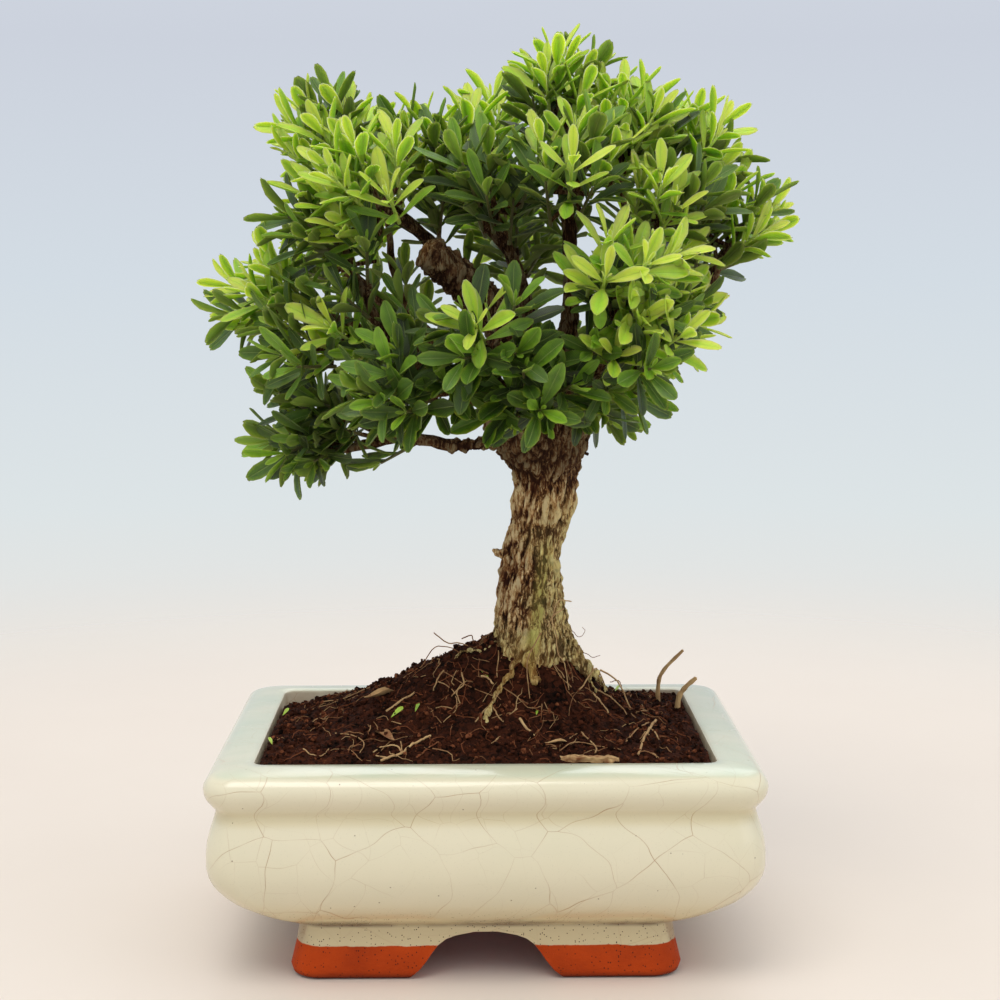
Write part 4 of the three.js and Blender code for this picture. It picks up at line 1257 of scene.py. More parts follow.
@dataclass
class SoilHeap:
    """The peat, heaped up round the trunk, with its crumbs and strands of fibre.

    Attributes:
        half_x: Half its length at the wall.
        half_y: Half its depth at the wall.
        corner: Its corner radius there.
        cells: How many cells its top is drawn in, along x and y.
        wall: The rows down the wall: share of the length and of the depth at the wall, height.
        crumbs: How many loose crumbs lie on it.
        strands: How many strands of fibre lie on it.
        slender: How thick the loose roots are drawn, as a share of what their table says.
        stained: How much browner they are drawn.
        seed: Where its random numbers start.
    """

    half_x: float = 73.3
    half_y: float = 50.8
    corner: float = 5.8
    cells: tuple[int, int] = (190, 134)
    wall: tuple[Triple, ...] = ((1, 1, 63), (0.936, 0.907, 28.2), (0.909, 0.868, 26.3))
    crumbs: int = 5400
    strands: int = 420
    slender: float = 0.62
    stained: float = 0.12
    seed: int = 61

    @staticmethod
    def height(x: float, y: float) -> float:
        """How high the heap's even surface is at a place, the same as the solid's."""
        rise = (1 - min(1, abs(x / 75) ** 4)) * (1 - min(1, abs(y / 52.5) ** 3))
        mound = math.exp(-(((x + 5.5) / 33) ** 2) - ((y - 1) / 24.5) ** 2)
        foot = math.exp(-(((x - 20) / 18.5) ** 2) - ((y - 1) / 18.5) ** 2)
        hollow = math.exp(-(((x + 70) / 16) ** 2) - ((y - 50) / 16) ** 2)
        return 68.8 + 7 * rise + 20 * mound + 16.5 * foot - 4 * hollow

    @classmethod
    def surface(cls, x: float, y: float) -> float:
        """How high the lumpy surface is at a place."""
        lumps = noise.fractal(Vector((x / 7, y / 7, 3.1)), 1.0, 2.0, 3)
        clods = noise.noise(Vector((x / 2.1, y / 2.1, 8.7)))
        grit = noise.noise(Vector((x / 0.9, y / 0.9, 1.7)))
        return cls.height(x, y) + 1.1 * lumps + 0.55 * abs(clods) + 0.25 * grit

    def make(self, effects: Effects) -> None:
        """Builds the heap, its crumbs and its strands."""
        peat = DampPeat().material(effects)
        fibre = DeadLeaf().material(effects)
        finish(self._heap(), 60, peat, ["soil"])
        finish(self._crumbs(), 30, peat, ["soil"])
        finish(self._strands(), 60, fibre, ["soil"])

    def _rounded(self, x: float, y: float) -> tuple[float, float]:
        """Draws a point of a rectangle in to the soil's round corners."""
        wide, deep = self.half_x - self.corner, self.half_y - self.corner
        p, q = (abs(x) - wide) / self.corner, (abs(y) - deep) / self.corner
        if p <= 0 or q <= 0:
            return x, y
        p, q = p * math.sqrt(1 - q * q / 2), q * math.sqrt(1 - p * p / 2)
        return math.copysign(wide + p * self.corner, x), math.copysign(deep + q * self.corner, y)

    def _heap(self) -> Piece:
        """A grid whose points are lifted to the heap, its border extruded down the wall and closed."""
        bpy.ops.mesh.primitive_grid_add(x_subdivisions=self.cells[0], y_subdivisions=self.cells[1], size=2)
        heap = fresh("peat_heap")
        points = places(heap)
        for i, (u, v, _) in enumerate(points):
            x, y = self._rounded(u * self.half_x, v * self.half_y)
            points[i] = (x, y, self.surface(x, y))
        put(heap, points)
        with Editing(heap) as edit:
            bpy.ops.mesh.select_all(action="DESELECT")
            bpy.ops.mesh.select_non_manifold(extend=False)
            past = (1.0, 1.0)
            for share_x, share_y, z in self.wall:
                edit.extrude()
                edit.scale(share_x / past[0], share_y / past[1], 0, (0, 0, z))
                past = (share_x, share_y)
            bpy.ops.mesh.edge_face_add()
            edit.face_out()
        note(heap, "tone", 0.12)
        return heap

    def _crumbs(self) -> Piece:
        """One rough crumb, copied all over the heap at many sizes and turns."""
        bpy.ops.mesh.primitive_ico_sphere_add(subdivisions=1, radius=1)
        crumb = fresh("crumb")
        shape = places(crumb)
        faces = np.array([p.vertices[:] for p in crumb.data.polygons])
        bpy.data.objects.remove(crumb)
        rng = np.random.default_rng(self.seed)
        points, tones = [], []
        for _ in range(self.crumbs):
            x = rng.uniform(-1, 1) * (self.half_x - 1.5)
            y = rng.uniform(-1, 1) * (self.half_y - 1.5)
            x, y = self._rounded(x, y)
            size = 0.3 + 0.95 * rng.random() ** 3.4
            squash = rng.uniform(0.6, 1.3, 3) * size
            turn = np.linalg.qr(rng.normal(size=(3, 3)))[0]
            turn *= np.sign(np.linalg.det(turn))
            lump = (shape * (1 + 0.35 * rng.uniform(-1, 1, (len(shape), 1)))) * squash @ turn
            points.append(lump + (x, y, self.surface(x, y) + 0.25 * size))
            tones.append(np.full(len(shape), rng.random() ** 3))
        where = np.concatenate([faces + i * len(shape) for i in range(self.crumbs)])
        piece = skin("peat_crumbs", np.vstack(points), where)
        note(piece, "tone", np.concatenate(tones))
        return piece

    def _strands(self) -> Piece:
        """Strands of fibre and fine root that wander over the heap, more of them near the trunk."""
        rng = np.random.default_rng(self.seed + 1)
        strands = Tubes()
        for i in range(self.strands):
            if i % 3 == 0:
                x, y = 12 + rng.normal() * 20, rng.normal() * 15
            else:
                x, y = rng.uniform(-1, 1) * (self.half_x - 6), rng.uniform(-1, 1) * (self.half_y - 6)
            way = rng.uniform(0, 2 * np.pi)
            steps = int(rng.integers(4, 9))
            stride = rng.uniform(0.9, 2.4)
            lift = rng.uniform(0.1, 0.5)
            line = []
            for k in range(steps):
                x = float(np.clip(x, 2 - self.half_x, self.half_x - 2))
                y = float(np.clip(y, 2 - self.half_y, self.half_y - 2))
                arch = lift * math.sin(math.pi * k / (steps - 1)) * rng.uniform(0.5, 3.2)
                line.append((x, y, self.surface(x, y) + 0.1 + arch))
                way += rng.normal() * 0.45
                x, y = x + stride * math.cos(way), y + stride * math.sin(way)
            thick = rng.uniform(0.1, 0.24)
            tone = 0.2 + 1.2 * rng.random() ** 0.7
            strands.add(np.array(line), np.linspace(thick, thick * 0.5, steps), 4, tone)
        for root in LOOSE_ROOTS:
            line = root.line()
            radii = self.slender * np.linspace(*root.thick, len(line))
            strands.add(line, radii, 7, root.tone + self.stained)
        return strands.made("peat_strands")


# ---- The wood ----

TRUNK = (
    (74, 15.4, 12.2),
    (80, 15.5, 12.6),
    (97, 15.7, 14.4),
    (104.5, 16.1, 13.2),
    (113.4, 15.5, 12.1),
    (124, 16, 11),
    (134, 17.2, 10),
    (147, 20, 11),
    (157.7, 21, 11.7),
    (166.7, 19.4, 15.2),
    (176, 18.5, 18.2),
    (185, 19, 15.5),
    (192, 19.5, 8),
)

ROOTS = (
    (
        Way(
            (
                (12.5, -8, 106),
                (10, -11.5, 97),
                (9.2, -15.2, 92.6),
                (5.4, -18.5, 88.6),
                (1, -26, 81.6),
                (-0.6, -31.5, 76.6),
            )
        ),
        1.9,
        0.9,
    ),
    (Way(((14, -6, 107), (14, -11, 99), (15.5, -14.5, 93.5), (17.5, -17, 89))), 3.4, 2.2),
    (Way(((24, -3, 109), (29.7, -4, 101.5), (35, -4, 92.2), (38.5, -4, 88.6), (42.5, -4, 83))), 2.6, 1.2),
    (Way(((22, -6, 104), (27, -6, 96.5), (31, -4.5, 93.5), (35.5, -6, 88.5), (38.5, -9, 84))), 2.2, 1),
    (Way(((24, 3, 102), (34, 7, 89), (46, 11, 76))), 2.6, 1.3),
    (Way(((18, 9, 103), (20, 18, 90.5), (23, 30, 77))), 3, 1.3),
    (Way(((8, 8, 102), (-2, 14, 93.5), (-15, 22, 83))), 2.6, 1.2),
    (Way(((9, -2, 104), (0.3, -6, 97.6), (-4.3, -5, 98), (-8.8, -4.5, 96.6), (-12.5, -8, 92))), 1.6, 0.8),
)

ROOT_ENDS = (
    (
        "root_end_tall",
        Way(((63.8, 26, 60), (63.3, 26, 77), (65.2, 26, 83.5), (72.2, 26, 91))),
        (0.9, 0.6),
    ),
    (
        "root_end_short",
        Way(((69.6, 19, 60), (69.8, 19, 73.5), (72, 19, 78.4), (76.2, 19, 82.3))),
        (1.1, 0.8),
    ),
)


@dataclass(frozen=True)
class Limb:
    """A limb out of the head.

    Attributes:
        path: The points that it goes through.
        thick: Its radius at both ends.
    """

    path: tuple[Triple, ...]
    thick: tuple[float, float]


LIMBS = {
    "low_left": Limb(((12, -2, 170), (-10, -7, 169), (-29, -10, 172), (-48, -11, 168)), (2.6, 1.3)),
    "left": Limb(
        ((14, -4, 176), (-4, -20, 186), (-16, -26, 193), (-27, -28, 202), (-37, -24, 215)), (3.4, 1.4)
    ),
    "stub": Limb(((17, -1, 184), (10, -8, 204), (-4, -15, 221), (-19, -22, 234)), (7.5, 6.2)),
    "upper_left": Limb(((14, 2, 184), (4, 3, 208), (-8, 1, 226), (-28, 0, 246)), (4.2, 1.6)),
    "centre": Limb(((19, 4, 184), (15, 7, 212), (7, 2, 236)), (3.8, 1.6)),
    "top": Limb(((22, 1, 184), (29, 1, 212), (29, 0, 240), (26, 0, 262)), (4, 1.5)),
    "upper_right": Limb(((24, 1, 182), (42, 2, 206), (58, 0, 234)), (4, 1.6)),
    "right": Limb(((25, -2, 178), (47, -5, 193), (62, -7, 208), (74, -5, 221)), (4.2, 1.5)),
    "front_right": Limb(((22, -6, 178), (33, -27, 190), (40, -40, 205)), (3.4, 1.5)),
    "front": Limb(((18, -7, 176), (10, -27, 183), (4, -40, 192)), (3, 1.4)),
    "back_left": Limb(((16, 6, 178), (-5, 27, 195), (-28, 41, 211)), (4, 1.6)),
    "back_mid": Limb(((20, 7, 180), (18, 33, 203), (12, 52, 220)), (3.8, 1.5)),
    "back_right": Limb(((24, 6, 178), (42, 27, 199), (55, 42, 216)), (3.8, 1.5)),
}


class Part(Enum):
    """The parts of the crown, each of which is a piece or two."""

    LEFT = "left"
    UPPER_LEFT = "upper_left"
    TOP = "top"
    RIGHT = "right"
    FRONT = "front"
    BACK_LEFT = "back_left"
    BACK_RIGHT = "back_right"


@dataclass(frozen=True)
class Pad:
    """A pad of leafage.

    Attributes:
        name: Its name in the solids.
        part: The part of the crown that it belongs to.
        limb: The limb that it grows on.
        at: How far along the limb, 1 for the limb's own end.
        middle: Its middle.
        reach: How far its shoots reach from there.
        shoots: How many of its shoots are solids.
        young: How many of those are this year's.
        fresh: The share of its other shoots that are this year's.
    """

    name: str
    part: Part
    limb: str
    at: float
    middle: Triple
    reach: float
    shoots: int
    young: int
    fresh: float


PADS = (
    Pad("left_tip", Part.LEFT, "left", 0.56, (-67, -5, 214), 19, 2, 1, 0.85),
    Pad("left_mid", Part.LEFT, "left", 0.44, (-50, -22, 203), 19, 2, 0, 0.25),
    Pad("left_low", Part.LEFT, "low_left", 1, (-53, -10, 173), 18, 2, 0, 0.05),
    Pad("upper_left_low", Part.UPPER_LEFT, "left", 1, (-47, -15, 238), 19, 2, 1, 0.65),
    Pad("upper_left", Part.UPPER_LEFT, "upper_left", 1, (-49, 0, 264), 19, 3, 2, 0.95),
    Pad("upper_left_front", Part.UPPER_LEFT, "upper_left", 0.6, (-34, -28, 249), 19, 2, 2, 0.95),
    Pad("upper_mid_left", Part.UPPER_LEFT, "centre", 1, (-15, 0, 259), 19, 2, 1, 0.65),
    Pad("top", Part.TOP, "top", 1, (25, 0, 279), 19, 3, 2, 0.95),
    Pad("top_right", Part.TOP, "top", 0.65, (46, -5, 266), 19, 2, 2, 0.95),
    Pad("upper_right", Part.RIGHT, "upper_right", 1, (66, 0, 262), 18, 2, 2, 0.9),
    Pad("right", Part.RIGHT, "right", 1, (83, 0, 236), 17, 2, 1, 0.85),
    Pad("right_mid", Part.RIGHT, "upper_right", 0.5, (57, -24, 241), 19, 1, 0, 0.4),
    Pad("right_front", Part.FRONT, "front_right", 1, (42, -48, 221), 20, 2, 2, 0.95),
    Pad("right_low_front", Part.FRONT, "front_right", 0.55, (49, -48, 199), 19, 1, 1, 0.55),
    Pad("right_whorl", Part.RIGHT, "right", 0.55, (55, -15, 206), 16, 1, 1, 0.7),
    Pad("right_low", Part.RIGHT, "right", 0.27, (36, -15, 190), 17, 1, 0, 0.1),
    Pad("centre_front", Part.FRONT, "front", 1, (1, -50, 203), 18, 2, 1, 0.45),
    Pad("centre_low", Part.FRONT, "front", 0.35, (15, -42, 184), 18, 1, 0, 0.0),
    Pad("left_front_low", Part.LEFT, "front", 0.45, (-21, -42, 187), 18, 2, 0, 0.1),
    Pad("centre_up", Part.TOP, "centre", 0.62, (3, -22, 247), 18, 1, 0, 0.4),
    Pad("front_mid", Part.TOP, "top", 0.5, (29, -34, 252), 18, 1, 0, 0.55),
    Pad("back_left", Part.BACK_LEFT, "back_left", 1, (-52, 49, 229), 20, 2, 1, 0.75),
    Pad("back_left_low", Part.BACK_LEFT, "back_left", 0.4, (-32, 54, 192), 19, 1, 0, 0.15),
    Pad("back_left_top", Part.BACK_LEFT, "back_left", 0.55, (-34, 38, 259), 19, 1, 1, 0.85),
    Pad("back_mid", Part.BACK_LEFT, "back_mid", 1, (10, 64, 235), 19, 2, 1, 0.7),
    Pad("back_top", Part.BACK_LEFT, "back_mid", 0.45, (3, 34, 271), 19, 1, 1, 0.85),
    Pad("back_right", Part.BACK_RIGHT, "back_right", 1, (63, 51, 230), 19, 2, 1, 0.75),
    Pad("back_right_low", Part.BACK_RIGHT, "back_right", 0.4, (43, 55, 191), 18, 1, 0, 0.15),
    Pad("back_right_top", Part.BACK_RIGHT, "back_right", 0.5, (47, 35, 265), 19, 2, 1, 0.85),
)

PAD_SHOOTS = 8
GOLDEN_ANGLE = 2.39996
KEYS_EACH, FILLING_KEYS, INNER_KEYS = 16, 1000, 3000
SHOOT_FOOT = 5.0
NODE_GAPS = (2.2, 3.5, 3.4, 3.3, 2.8)
HEART = np.array([12.0, 0, 200])
UP = np.array([0, 0, 1.0])
PAD_SEED, LEAF_SEED, BARK_SEED = 11, 29, 47


@dataclass(frozen=True)
class Clipping:
    """The outline that the crown is kept clipped to.

    Attributes:
        eye: Where it is looked at from.
        reaches: How far it reaches from its heart, by the angle up from the right, in degrees.
        depth: How far it reaches from back to front, on either side of its middle.
        middle: Its middle from back to front.
    """

    eye: Triple = EYE
    reaches: tuple[tuple[float, float], ...] = (
        (0, 60),
        (17, 76),
        (25, 104),
        (33, 106),
        (46, 106),
        (52, 116),
        (61, 100),
        (68, 103),
        (82, 110),
        (91, 100),
        (97, 88),
        (107, 92),
        (118, 98),
        (124, 115),
        (130, 123),
        (139, 115),
        (148, 94),
        (158, 101),
        (165, 115),
        (174, 104),
        (190, 94),
        (200, 98),
        (206, 96),
        (217, 75),
        (226, 45),
        (254, 32),
        (290, 32),
        (311, 42),
        (327, 51),
        (350, 57),
    )
    depth: float = 80
    middle: float = 4.5

    def excess(self, point: np.ndarray) -> float:
        """How far a point is outside the outline, or less than 0 inside it."""
        eye = np.array(self.eye)
        seen = eye + (point - eye) * eye[1] / (eye[1] - point[1])
        x, z = seen[0] - HEART[0], seen[2] - HEART[2]
        angles, reaches = zip(*self.reaches)
        front = math.hypot(x, z) - np.interp(math.degrees(math.atan2(z, x)), angles, reaches, period=360)
        return max(front, abs(point[1] - self.middle) - self.depth)


@dataclass
class Shoot:
    """A green shoot.

    Attributes:
        part: The part of the crown that it belongs to.
        key: Its key in the seeded rule.
        axis: The way that it points.
        base: Where its twig leaves the wood.
        foot: Where it leaves its twig.
        nodes: How far up it its pairs of leaves are.
        young: True if it is this year's.
        solid: The name of the solid that it stands for, or nothing.
        size: How big its leaves are, 1 for the usual.
        shade: How much darker than usual its leaves are: older leaves, and painted shade for shoots set
            back inside the crown.
    """

    part: Part
    key: int
    axis: np.ndarray
    base: np.ndarray
    foot: np.ndarray
    nodes: np.ndarray
    young: bool
    solid: str = ""
    size: float = 1.0
    shade: float = 0.0

    @property
    def phase(self) -> float:
        """How its first pair of leaves is turned."""
        return 2 * math.pi * draw(LEAF_SEED, self.key, 90)

    @property
    def twig_end(self) -> np.ndarray:
        """The end of the woody twig that carries it."""
        return self.foot - 0.3 * self.axis


@dataclass
class Growing:
    """Where all the shoots grow: those that are solids too, and those that only fill the crown.

    Attributes:
        fill: How many more shoots each pad has.
        inner: How many short shoots each limb has inside the crown.
        clipping: The outline that the crown is kept in.
    """

    fill: int = 7
    inner: int = 6
    clipping: Clipping = Clipping()

    def shoots(self) -> list[Shoot]:
        """All the shoots."""
        out = []
        for key, pad in enumerate(PADS):
            out += [self._solid(pad, key, i) for i in range(pad.shoots)]
            out += filter(None, (self._filling(pad, key, i) for i in range(self.fill)))
        for order, name in enumerate(LIMBS):
            if name != "stub":
                out += filter(None, (self._inner(name, order, i) for i in range(self.inner)))
        return out

    @staticmethod
    def _solid(pad: Pad, pad_key: int, i: int) -> Shoot:
        """The shoot that the seeded rule grows from a pad, the same as the solid.

        Args:
            pad: The pad.
            pad_key: The pad's number.
            i: The shoot's number in the pad.

        Returns:
            The shoot.
        """
        middle = np.array(pad.middle, float)
        axis = unit(middle - HEART)
        lean = 1.35 * math.sqrt((i + 0.35 * draw(PAD_SEED, pad_key, i)) / PAD_SHOOTS)
        turn = GOLDEN_ANGLE * i + 2 * math.pi * draw(PAD_SEED, pad_key, 50)
        axis = axis * math.cos(lean) + math.sin(lean) * around(across(axis), turn)
        axis = unit(axis + 0.3 * UP)
        nodes = np.cumsum(NODE_GAPS) * (pad.reach - SHOOT_FOOT) / sum(NODE_GAPS)
        foot = middle + SHOOT_FOOT * axis
        name = f"shoot_{pad.name}_{i + 1}"
        return Shoot(pad.part, pad_key * KEYS_EACH + i, axis, middle, foot, nodes, i < pad.young, name)

    def _filling(self, pad: Pad, pad_key: int, i: int) -> Shoot | None:
        """A shoot round the others of a pad, set further back the later it comes.

        Args:
            pad: The pad.
            pad_key: The pad's number.
            i: The shoot's number among these.

        Returns:
            The shoot, or None where the crown has no room for it.
        """
        key = FILLING_KEYS + pad_key * KEYS_EACH + i
        rng = np.random.default_rng(key)
        middle = np.array(pad.middle, float)
        out = unit(middle - HEART)
        turn = GOLDEN_ANGLE * i + 2 * math.pi * draw(PAD_SEED, pad_key, 51)
        aside = around(across(out), turn)
        ring = rng.uniform(0.4, 1.0)
        foot = middle + 9 * ring * aside - out * (16 * i / self.fill - 3)
        axis = unit(out + 0.8 * ring * aside + 0.55 * UP)
        nodes = np.cumsum(NODE_GAPS) * rng.uniform(0.75, 1.1)
        young = draw(PAD_SEED, pad_key, i + 70) < pad.fresh
        # Older leaves and painted shade: the further back a filling shoot is set, the darker its leaves are
        # drawn.
        shade = 0.0 if young else 0.1 * i / self.fill
        return self._clipped(Shoot(pad.part, key, axis, middle, foot, nodes, young, shade=shade))

    def _inner(self, name: str, order: int, i: int) -> Shoot | None:
        """A short old shoot on a limb inside the crown.

        Args:
            name: The limb's name.
            order: The limb's number.
            i: The shoot's number on the limb.

        Returns:
            The shoot, or None where the crown has no room for it.
        """
        key = INNER_KEYS + order * KEYS_EACH + i
        rng = np.random.default_rng(key)
        pad = next(p for p in PADS if p.limb == name and p.at == 1)
        base = Way((*LIMBS[name].path, pad.middle)).at(0.35 + 0.6 * (i + rng.random()) / self.inner)
        out = unit(base - HEART + [0, 0, 12])
        axis = unit(out + 0.9 * unit(rng.normal(size=3)) + 0.4 * UP)
        nodes = np.cumsum(NODE_GAPS) * rng.uniform(0.7, 1.0)
        foot = base + axis * rng.uniform(4, 9)
        # Older leaves and painted shade for the short shoots inside the crown.
        return self._clipped(Shoot(pad.part, key, axis, base, foot, nodes, False, size=0.85, shade=0.12))

    def _clipped(self, shoot: Shoot) -> Shoot | None:
        """Draws a shoot in towards the heart until it is inside the outline."""
        for _ in range(9):
            tip = shoot.foot + shoot.axis * (shoot.nodes[-1] + 9)
            if self.clipping.excess(tip) < 0:
                return shoot
            shoot.foot = shoot.foot + 3 * unit(HEART + [0, 0, 25] - shoot.foot)
        return None


@dataclass
class Wood:
    """Roots, trunk, burl, limbs, branches and twigs.

    Attributes:
        shoots: The shoots that its twigs reach.
        voxel: How finely the trunk and its roots are fused.
        sides: How many sides the trunk starts with.
        fused: How much of each limb is fused with the head.
        knobs: How many knobs the head has.
        scraps: How many dead scraps of twig stick out of the head.
    """

    shoots: list[Shoot]
    voxel: float = 0.58
    sides: int = 32
    fused: float = 0.36
    knobs: int = 34
    scraps: int = 30

    def make(self, effects: Effects) -> None:
        """Builds and dresses the wood and the bare root ends."""
        bark = OldBark().material(effects)
        peeled = DeadLeaf("peeled_root").material(effects)
        for piece in (self._stock(), self._boughs(), self._twigs()):
            finish(piece, 50, bark, ["trunk_and_branches"])
        for name, way, thick in ROOT_ENDS:
            finish(self._root_end(name, way, thick), 50, peeled, [name])

    def _raised_trunk(self) -> Piece:
        """A ring extruded up the trunk, moved and scaled at each step, and closed on top."""
        way = Way(tuple((x, r, z) for z, x, r in TRUNK))
        rows = way.points((len(TRUNK) - 1) * 4)
        x, r, z = rows[0]
        foot = (x, 0, z)
        bpy.ops.mesh.primitive_circle_add(vertices=self.sides, radius=r, fill_type="NGON", location=foot)
        trunk = fixed("trunk")
        with Editing(trunk) as edit:
            edit.pick_all()
            for before, after in zip(rows, rows[1:]):
                edit.extrude(x=after[0] - before[0], z=after[2] - before[2])
                grow = after[1] / before[1]
                edit.scale(grow, grow, 1, (after[0], 0, after[2]))
            edit.face_out()
        return trunk

    def _stock(self) -> Piece:
        """Trunk, roots, stub and the starts of the limbs, fused into one skin and given their bark."""
        rng = np.random.default_rng(BARK_SEED)
        parts = Tubes()
        for way, thick, thin in ROOTS:
            line = way.points(14)
            radii = np.linspace(thick, thin, len(line))
            radii = radii * (1 + 0.14 * np.sin(np.linspace(0, 9, len(line)) + thick))
            parts.add(line, radii, 12)
        for name, limb in LIMBS.items():
            whole = name == "stub"
            line = Way(limb.path).points(16, 0, 1 if whole else self.fused)
            end = limb.thick[1] if whole else mix(*limb.thick, self.fused)
            radii = np.linspace(limb.thick[0] * (1 if whole else 1.15), end, len(line))
            parts.add(line, radii, 16 if whole else 12)
        for _ in range(self.knobs):
            z = rng.uniform(161, 190)
            turn = rng.uniform(0, 2 * np.pi)
            out = np.array([math.cos(turn), math.sin(turn), rng.uniform(-0.3, 0.7)])
            radius = float(np.interp(z, [161, 176, 190], [12, 16.8, 9.5]))
            middle = np.array([19 + radius * out[0], radius * out[1], z])
            size = rng.uniform(1.3, 3.4)
            line = np.array([middle - out * size, middle, middle + out * size * 0.6])
            parts.add(line, [size, size * 1.15, size * 0.6], 9)
        heights, middles, widths = zip(*TRUNK)
        for _ in range(self.scraps):
            z = rng.uniform(163, 192)
            turn = rng.uniform(0, 2 * np.pi)
            radius = float(np.interp(z, heights, widths))
            middle = float(np.interp(z, heights, middles))
            out = np.array([math.cos(turn), math.sin(turn), rng.uniform(-0.6, 1.1)])
            start = np.array([middle + (radius - 1.5) * out[0], (radius - 1.5) * out[1], z])
            length = rng.uniform(2.2, 3.8)
            line = np.array([start, start + out * length * 0.6, start + out * length])
            parts.add(line, [1.2, 0.9, 0.6], 6)
        nub = ((9, -2, 129), (6, -2, 131), (4.4, -2, 131.4), (3, -2, 132.6))
        parts.add(np.array(nub, float), [2.6, 1.9, 1.0, 0.4], 8)
        stock = joined("trunk_and_roots", self._raised_trunk(), parts.made("parts"))
        modify(stock, "REMESH", mode="VOXEL", voxel_size=self.voxel, adaptivity=0)
        modify(stock, "SMOOTH", factor=0.5, iterations=3)
        self._rough(stock, 1.0)
        return stock

    @staticmethod
    def _rough(piece: Piece, depth: float) -> None:
        """Gives a skin its cracks and crests, and notes them for its material.

        Args:
            piece: The skin, in millimetres.
            depth: How deep the bark is, as a share of the trunk's.
        """
        points = places(piece)
        normals = np.empty(len(points) * 3, np.float32)
        piece.data.vertices.foreach_get("normal", normals)
        normals = normals.reshape(-1, 3)
        reliefs, tones, mosses = (np.empty(len(points)) for _ in range(3))
        for i, (x, y, z) in enumerate(points):
            lean = noise.noise(Vector((x / 9, y / 9, z / 16)))
            side = noise.noise(Vector((y / 8 + 9, z / 14, x / 8)))
            slant = x - 0.2 * z
            q = Vector((slant / 3.3 + 0.9 * side, y / 3.3 + 0.9 * lean, z / 14 + 0.4 * lean))
            near = noise.voronoi(q)[0]
            ridge = min(1.0, (near[1] - near[0]) / 0.46)
            strip = noise.fractal(Vector((slant / 1.3, y / 1.3, z / 6)), 0.9, 2.1, 3)
            torn = noise.fractal(Vector((x / 2.6, y / 2.6, z / 3 + 4)), 0.8, 2.2, 2)
            relief = 0.66 * ridge + 0.32 * strip + 0.26 * torn
            reliefs[i] = relief
            lump = noise.noise(Vector((x / 11, y / 11, z / 17 + 5)))
            points[i] += normals[i] * depth * (1.9 * relief - 1.05 + 0.9 * lump)
            forward, leftward = (max(0.0, min(1.0, v / 8)) for v in (-y - 8, 24 - x))
            pale = max(0.0, 1 - abs(z - 92) / 13) * forward * leftward
            cut = max(0.0, 1 - math.dist((x, y, z), (-21, -23, 235.5)) / 7)
            tones[i] = min(1.0, pale + 0.7 * cut)
            streak = abs(x - np.interp(z, (88, 98, 136), (11.5, 16.2, 21)))
            up_trunk = np.interp(z, (84, 92, 126, 140), (0, 1, 1, 0))
            mosses[i] = (y < 0) * np.interp(streak, (1.4, 3.2), (1, 0)) * up_trunk
        put(piece, points)
        note(piece, "relief", np.clip(reliefs + 0.25, 0, 1))
        note(piece, "tone", tones)
        note(piece, "moss", mosses)

    def _boughs(self) -> Piece:
        """The limbs beyond the head and the branches to the pads at their sides."""
        boughs = Tubes()
        ends = {pad.limb: pad for pad in PADS if pad.at == 1}
        firsts = {shoot.solid: shoot.twig_end for shoot in self.shoots}
        for name, limb in LIMBS.items():
            if name == "stub":
                continue
            pad = ends[name]
            way = Way((*limb.path, pad.middle))
            share = self.fused * (len(limb.path) - 1) / len(limb.path)
            line = way.points(30, share * 0.9, 1)
            line = np.vstack([line, firsts[f"shoot_{pad.name}_1"]])
            radii = np.append(np.linspace(mix(*limb.thick, share), limb.thick[1], len(line) - 1), 0.9)
            boughs.add(self._gnarled(line, name), radii, 9)
        for pad in PADS:
            if pad.at == 1:
                continue
            limb = LIMBS[pad.limb]
            way = Way((*limb.path, ends[pad.limb].middle))
            start, middle = way.at(pad.at), np.array(pad.middle, float)
            bend = start + 0.4 * np.linalg.norm(start - middle) * way.heading(pad.at)
            t = np.linspace(0, 1, 22)[:, None]
            line = (1 - t) ** 2 * start + 2 * t * (1 - t) * bend + t * t * middle
            thick = min(1.9, 0.8 * mix(*limb.thick, pad.at))
            radii = np.append(np.linspace(thick, 1.15, len(line)), 0.9)
            boughs.add(self._gnarled(np.vstack([line, firsts[f"shoot_{pad.name}_1"]]), pad.name), radii, 8)
        piece = boughs.made("limbs_and_branches")
        self._rough(piece, 0.34)
        return piece

    @staticmethod
    def _gnarled(line: np.ndarray, name: str) -> np.ndarray:
        """Gives a line the small bends of old wood, but not at its ends."""
        shift = sum(map(ord, name))
        out = line.copy()
        for i in range(1, len(line) - 1):
            sway = min(1.0, i / 4, (len(line) - 1 - i) / 4)
            place = Vector((shift, i / 3.3, 0.5))
            out[i] += 0.9 * sway * np.array(noise.noise_vector(place))
        return out

    def _twigs(self) -> Piece:
        """A twig from the wood to each shoot."""
        twigs = Tubes()
        for shoot in self.shoots:
            end = shoot.foot + 1.2 * shoot.axis
            sway = np.array(noise.noise_vector(Vector((shoot.key, 3.1, 0.2))))
            near, far = mix(shoot.base, end, 0.4) + sway, mix(shoot.base, end, 0.75) + 0.4 * sway
            twigs.add(np.array([shoot.base, near, far, end]), [0.95, 0.85, 0.8, 0.7], 5)
        piece = twigs.made("twigs")
        note(piece, "relief", 0.45)
        return piece

    @staticmethod
    def _root_end(name: str, way: Way, thick: tuple[float, float]) -> Piece:
        """A bare root end that stands out of the soil, with its joints."""
        line = way.points(16)
        radii = np.linspace(*thick, len(line)) * (1 + 0.12 * np.sin(np.arange(len(line)) * 1.9))
        tube = Tubes()
        tube.add(line, radii, 8, 0.2)
        piece = tube.made(f"{name}_bark")
        note(piece, "relief", 0.5)
        return piece


# ---- The leafage ----


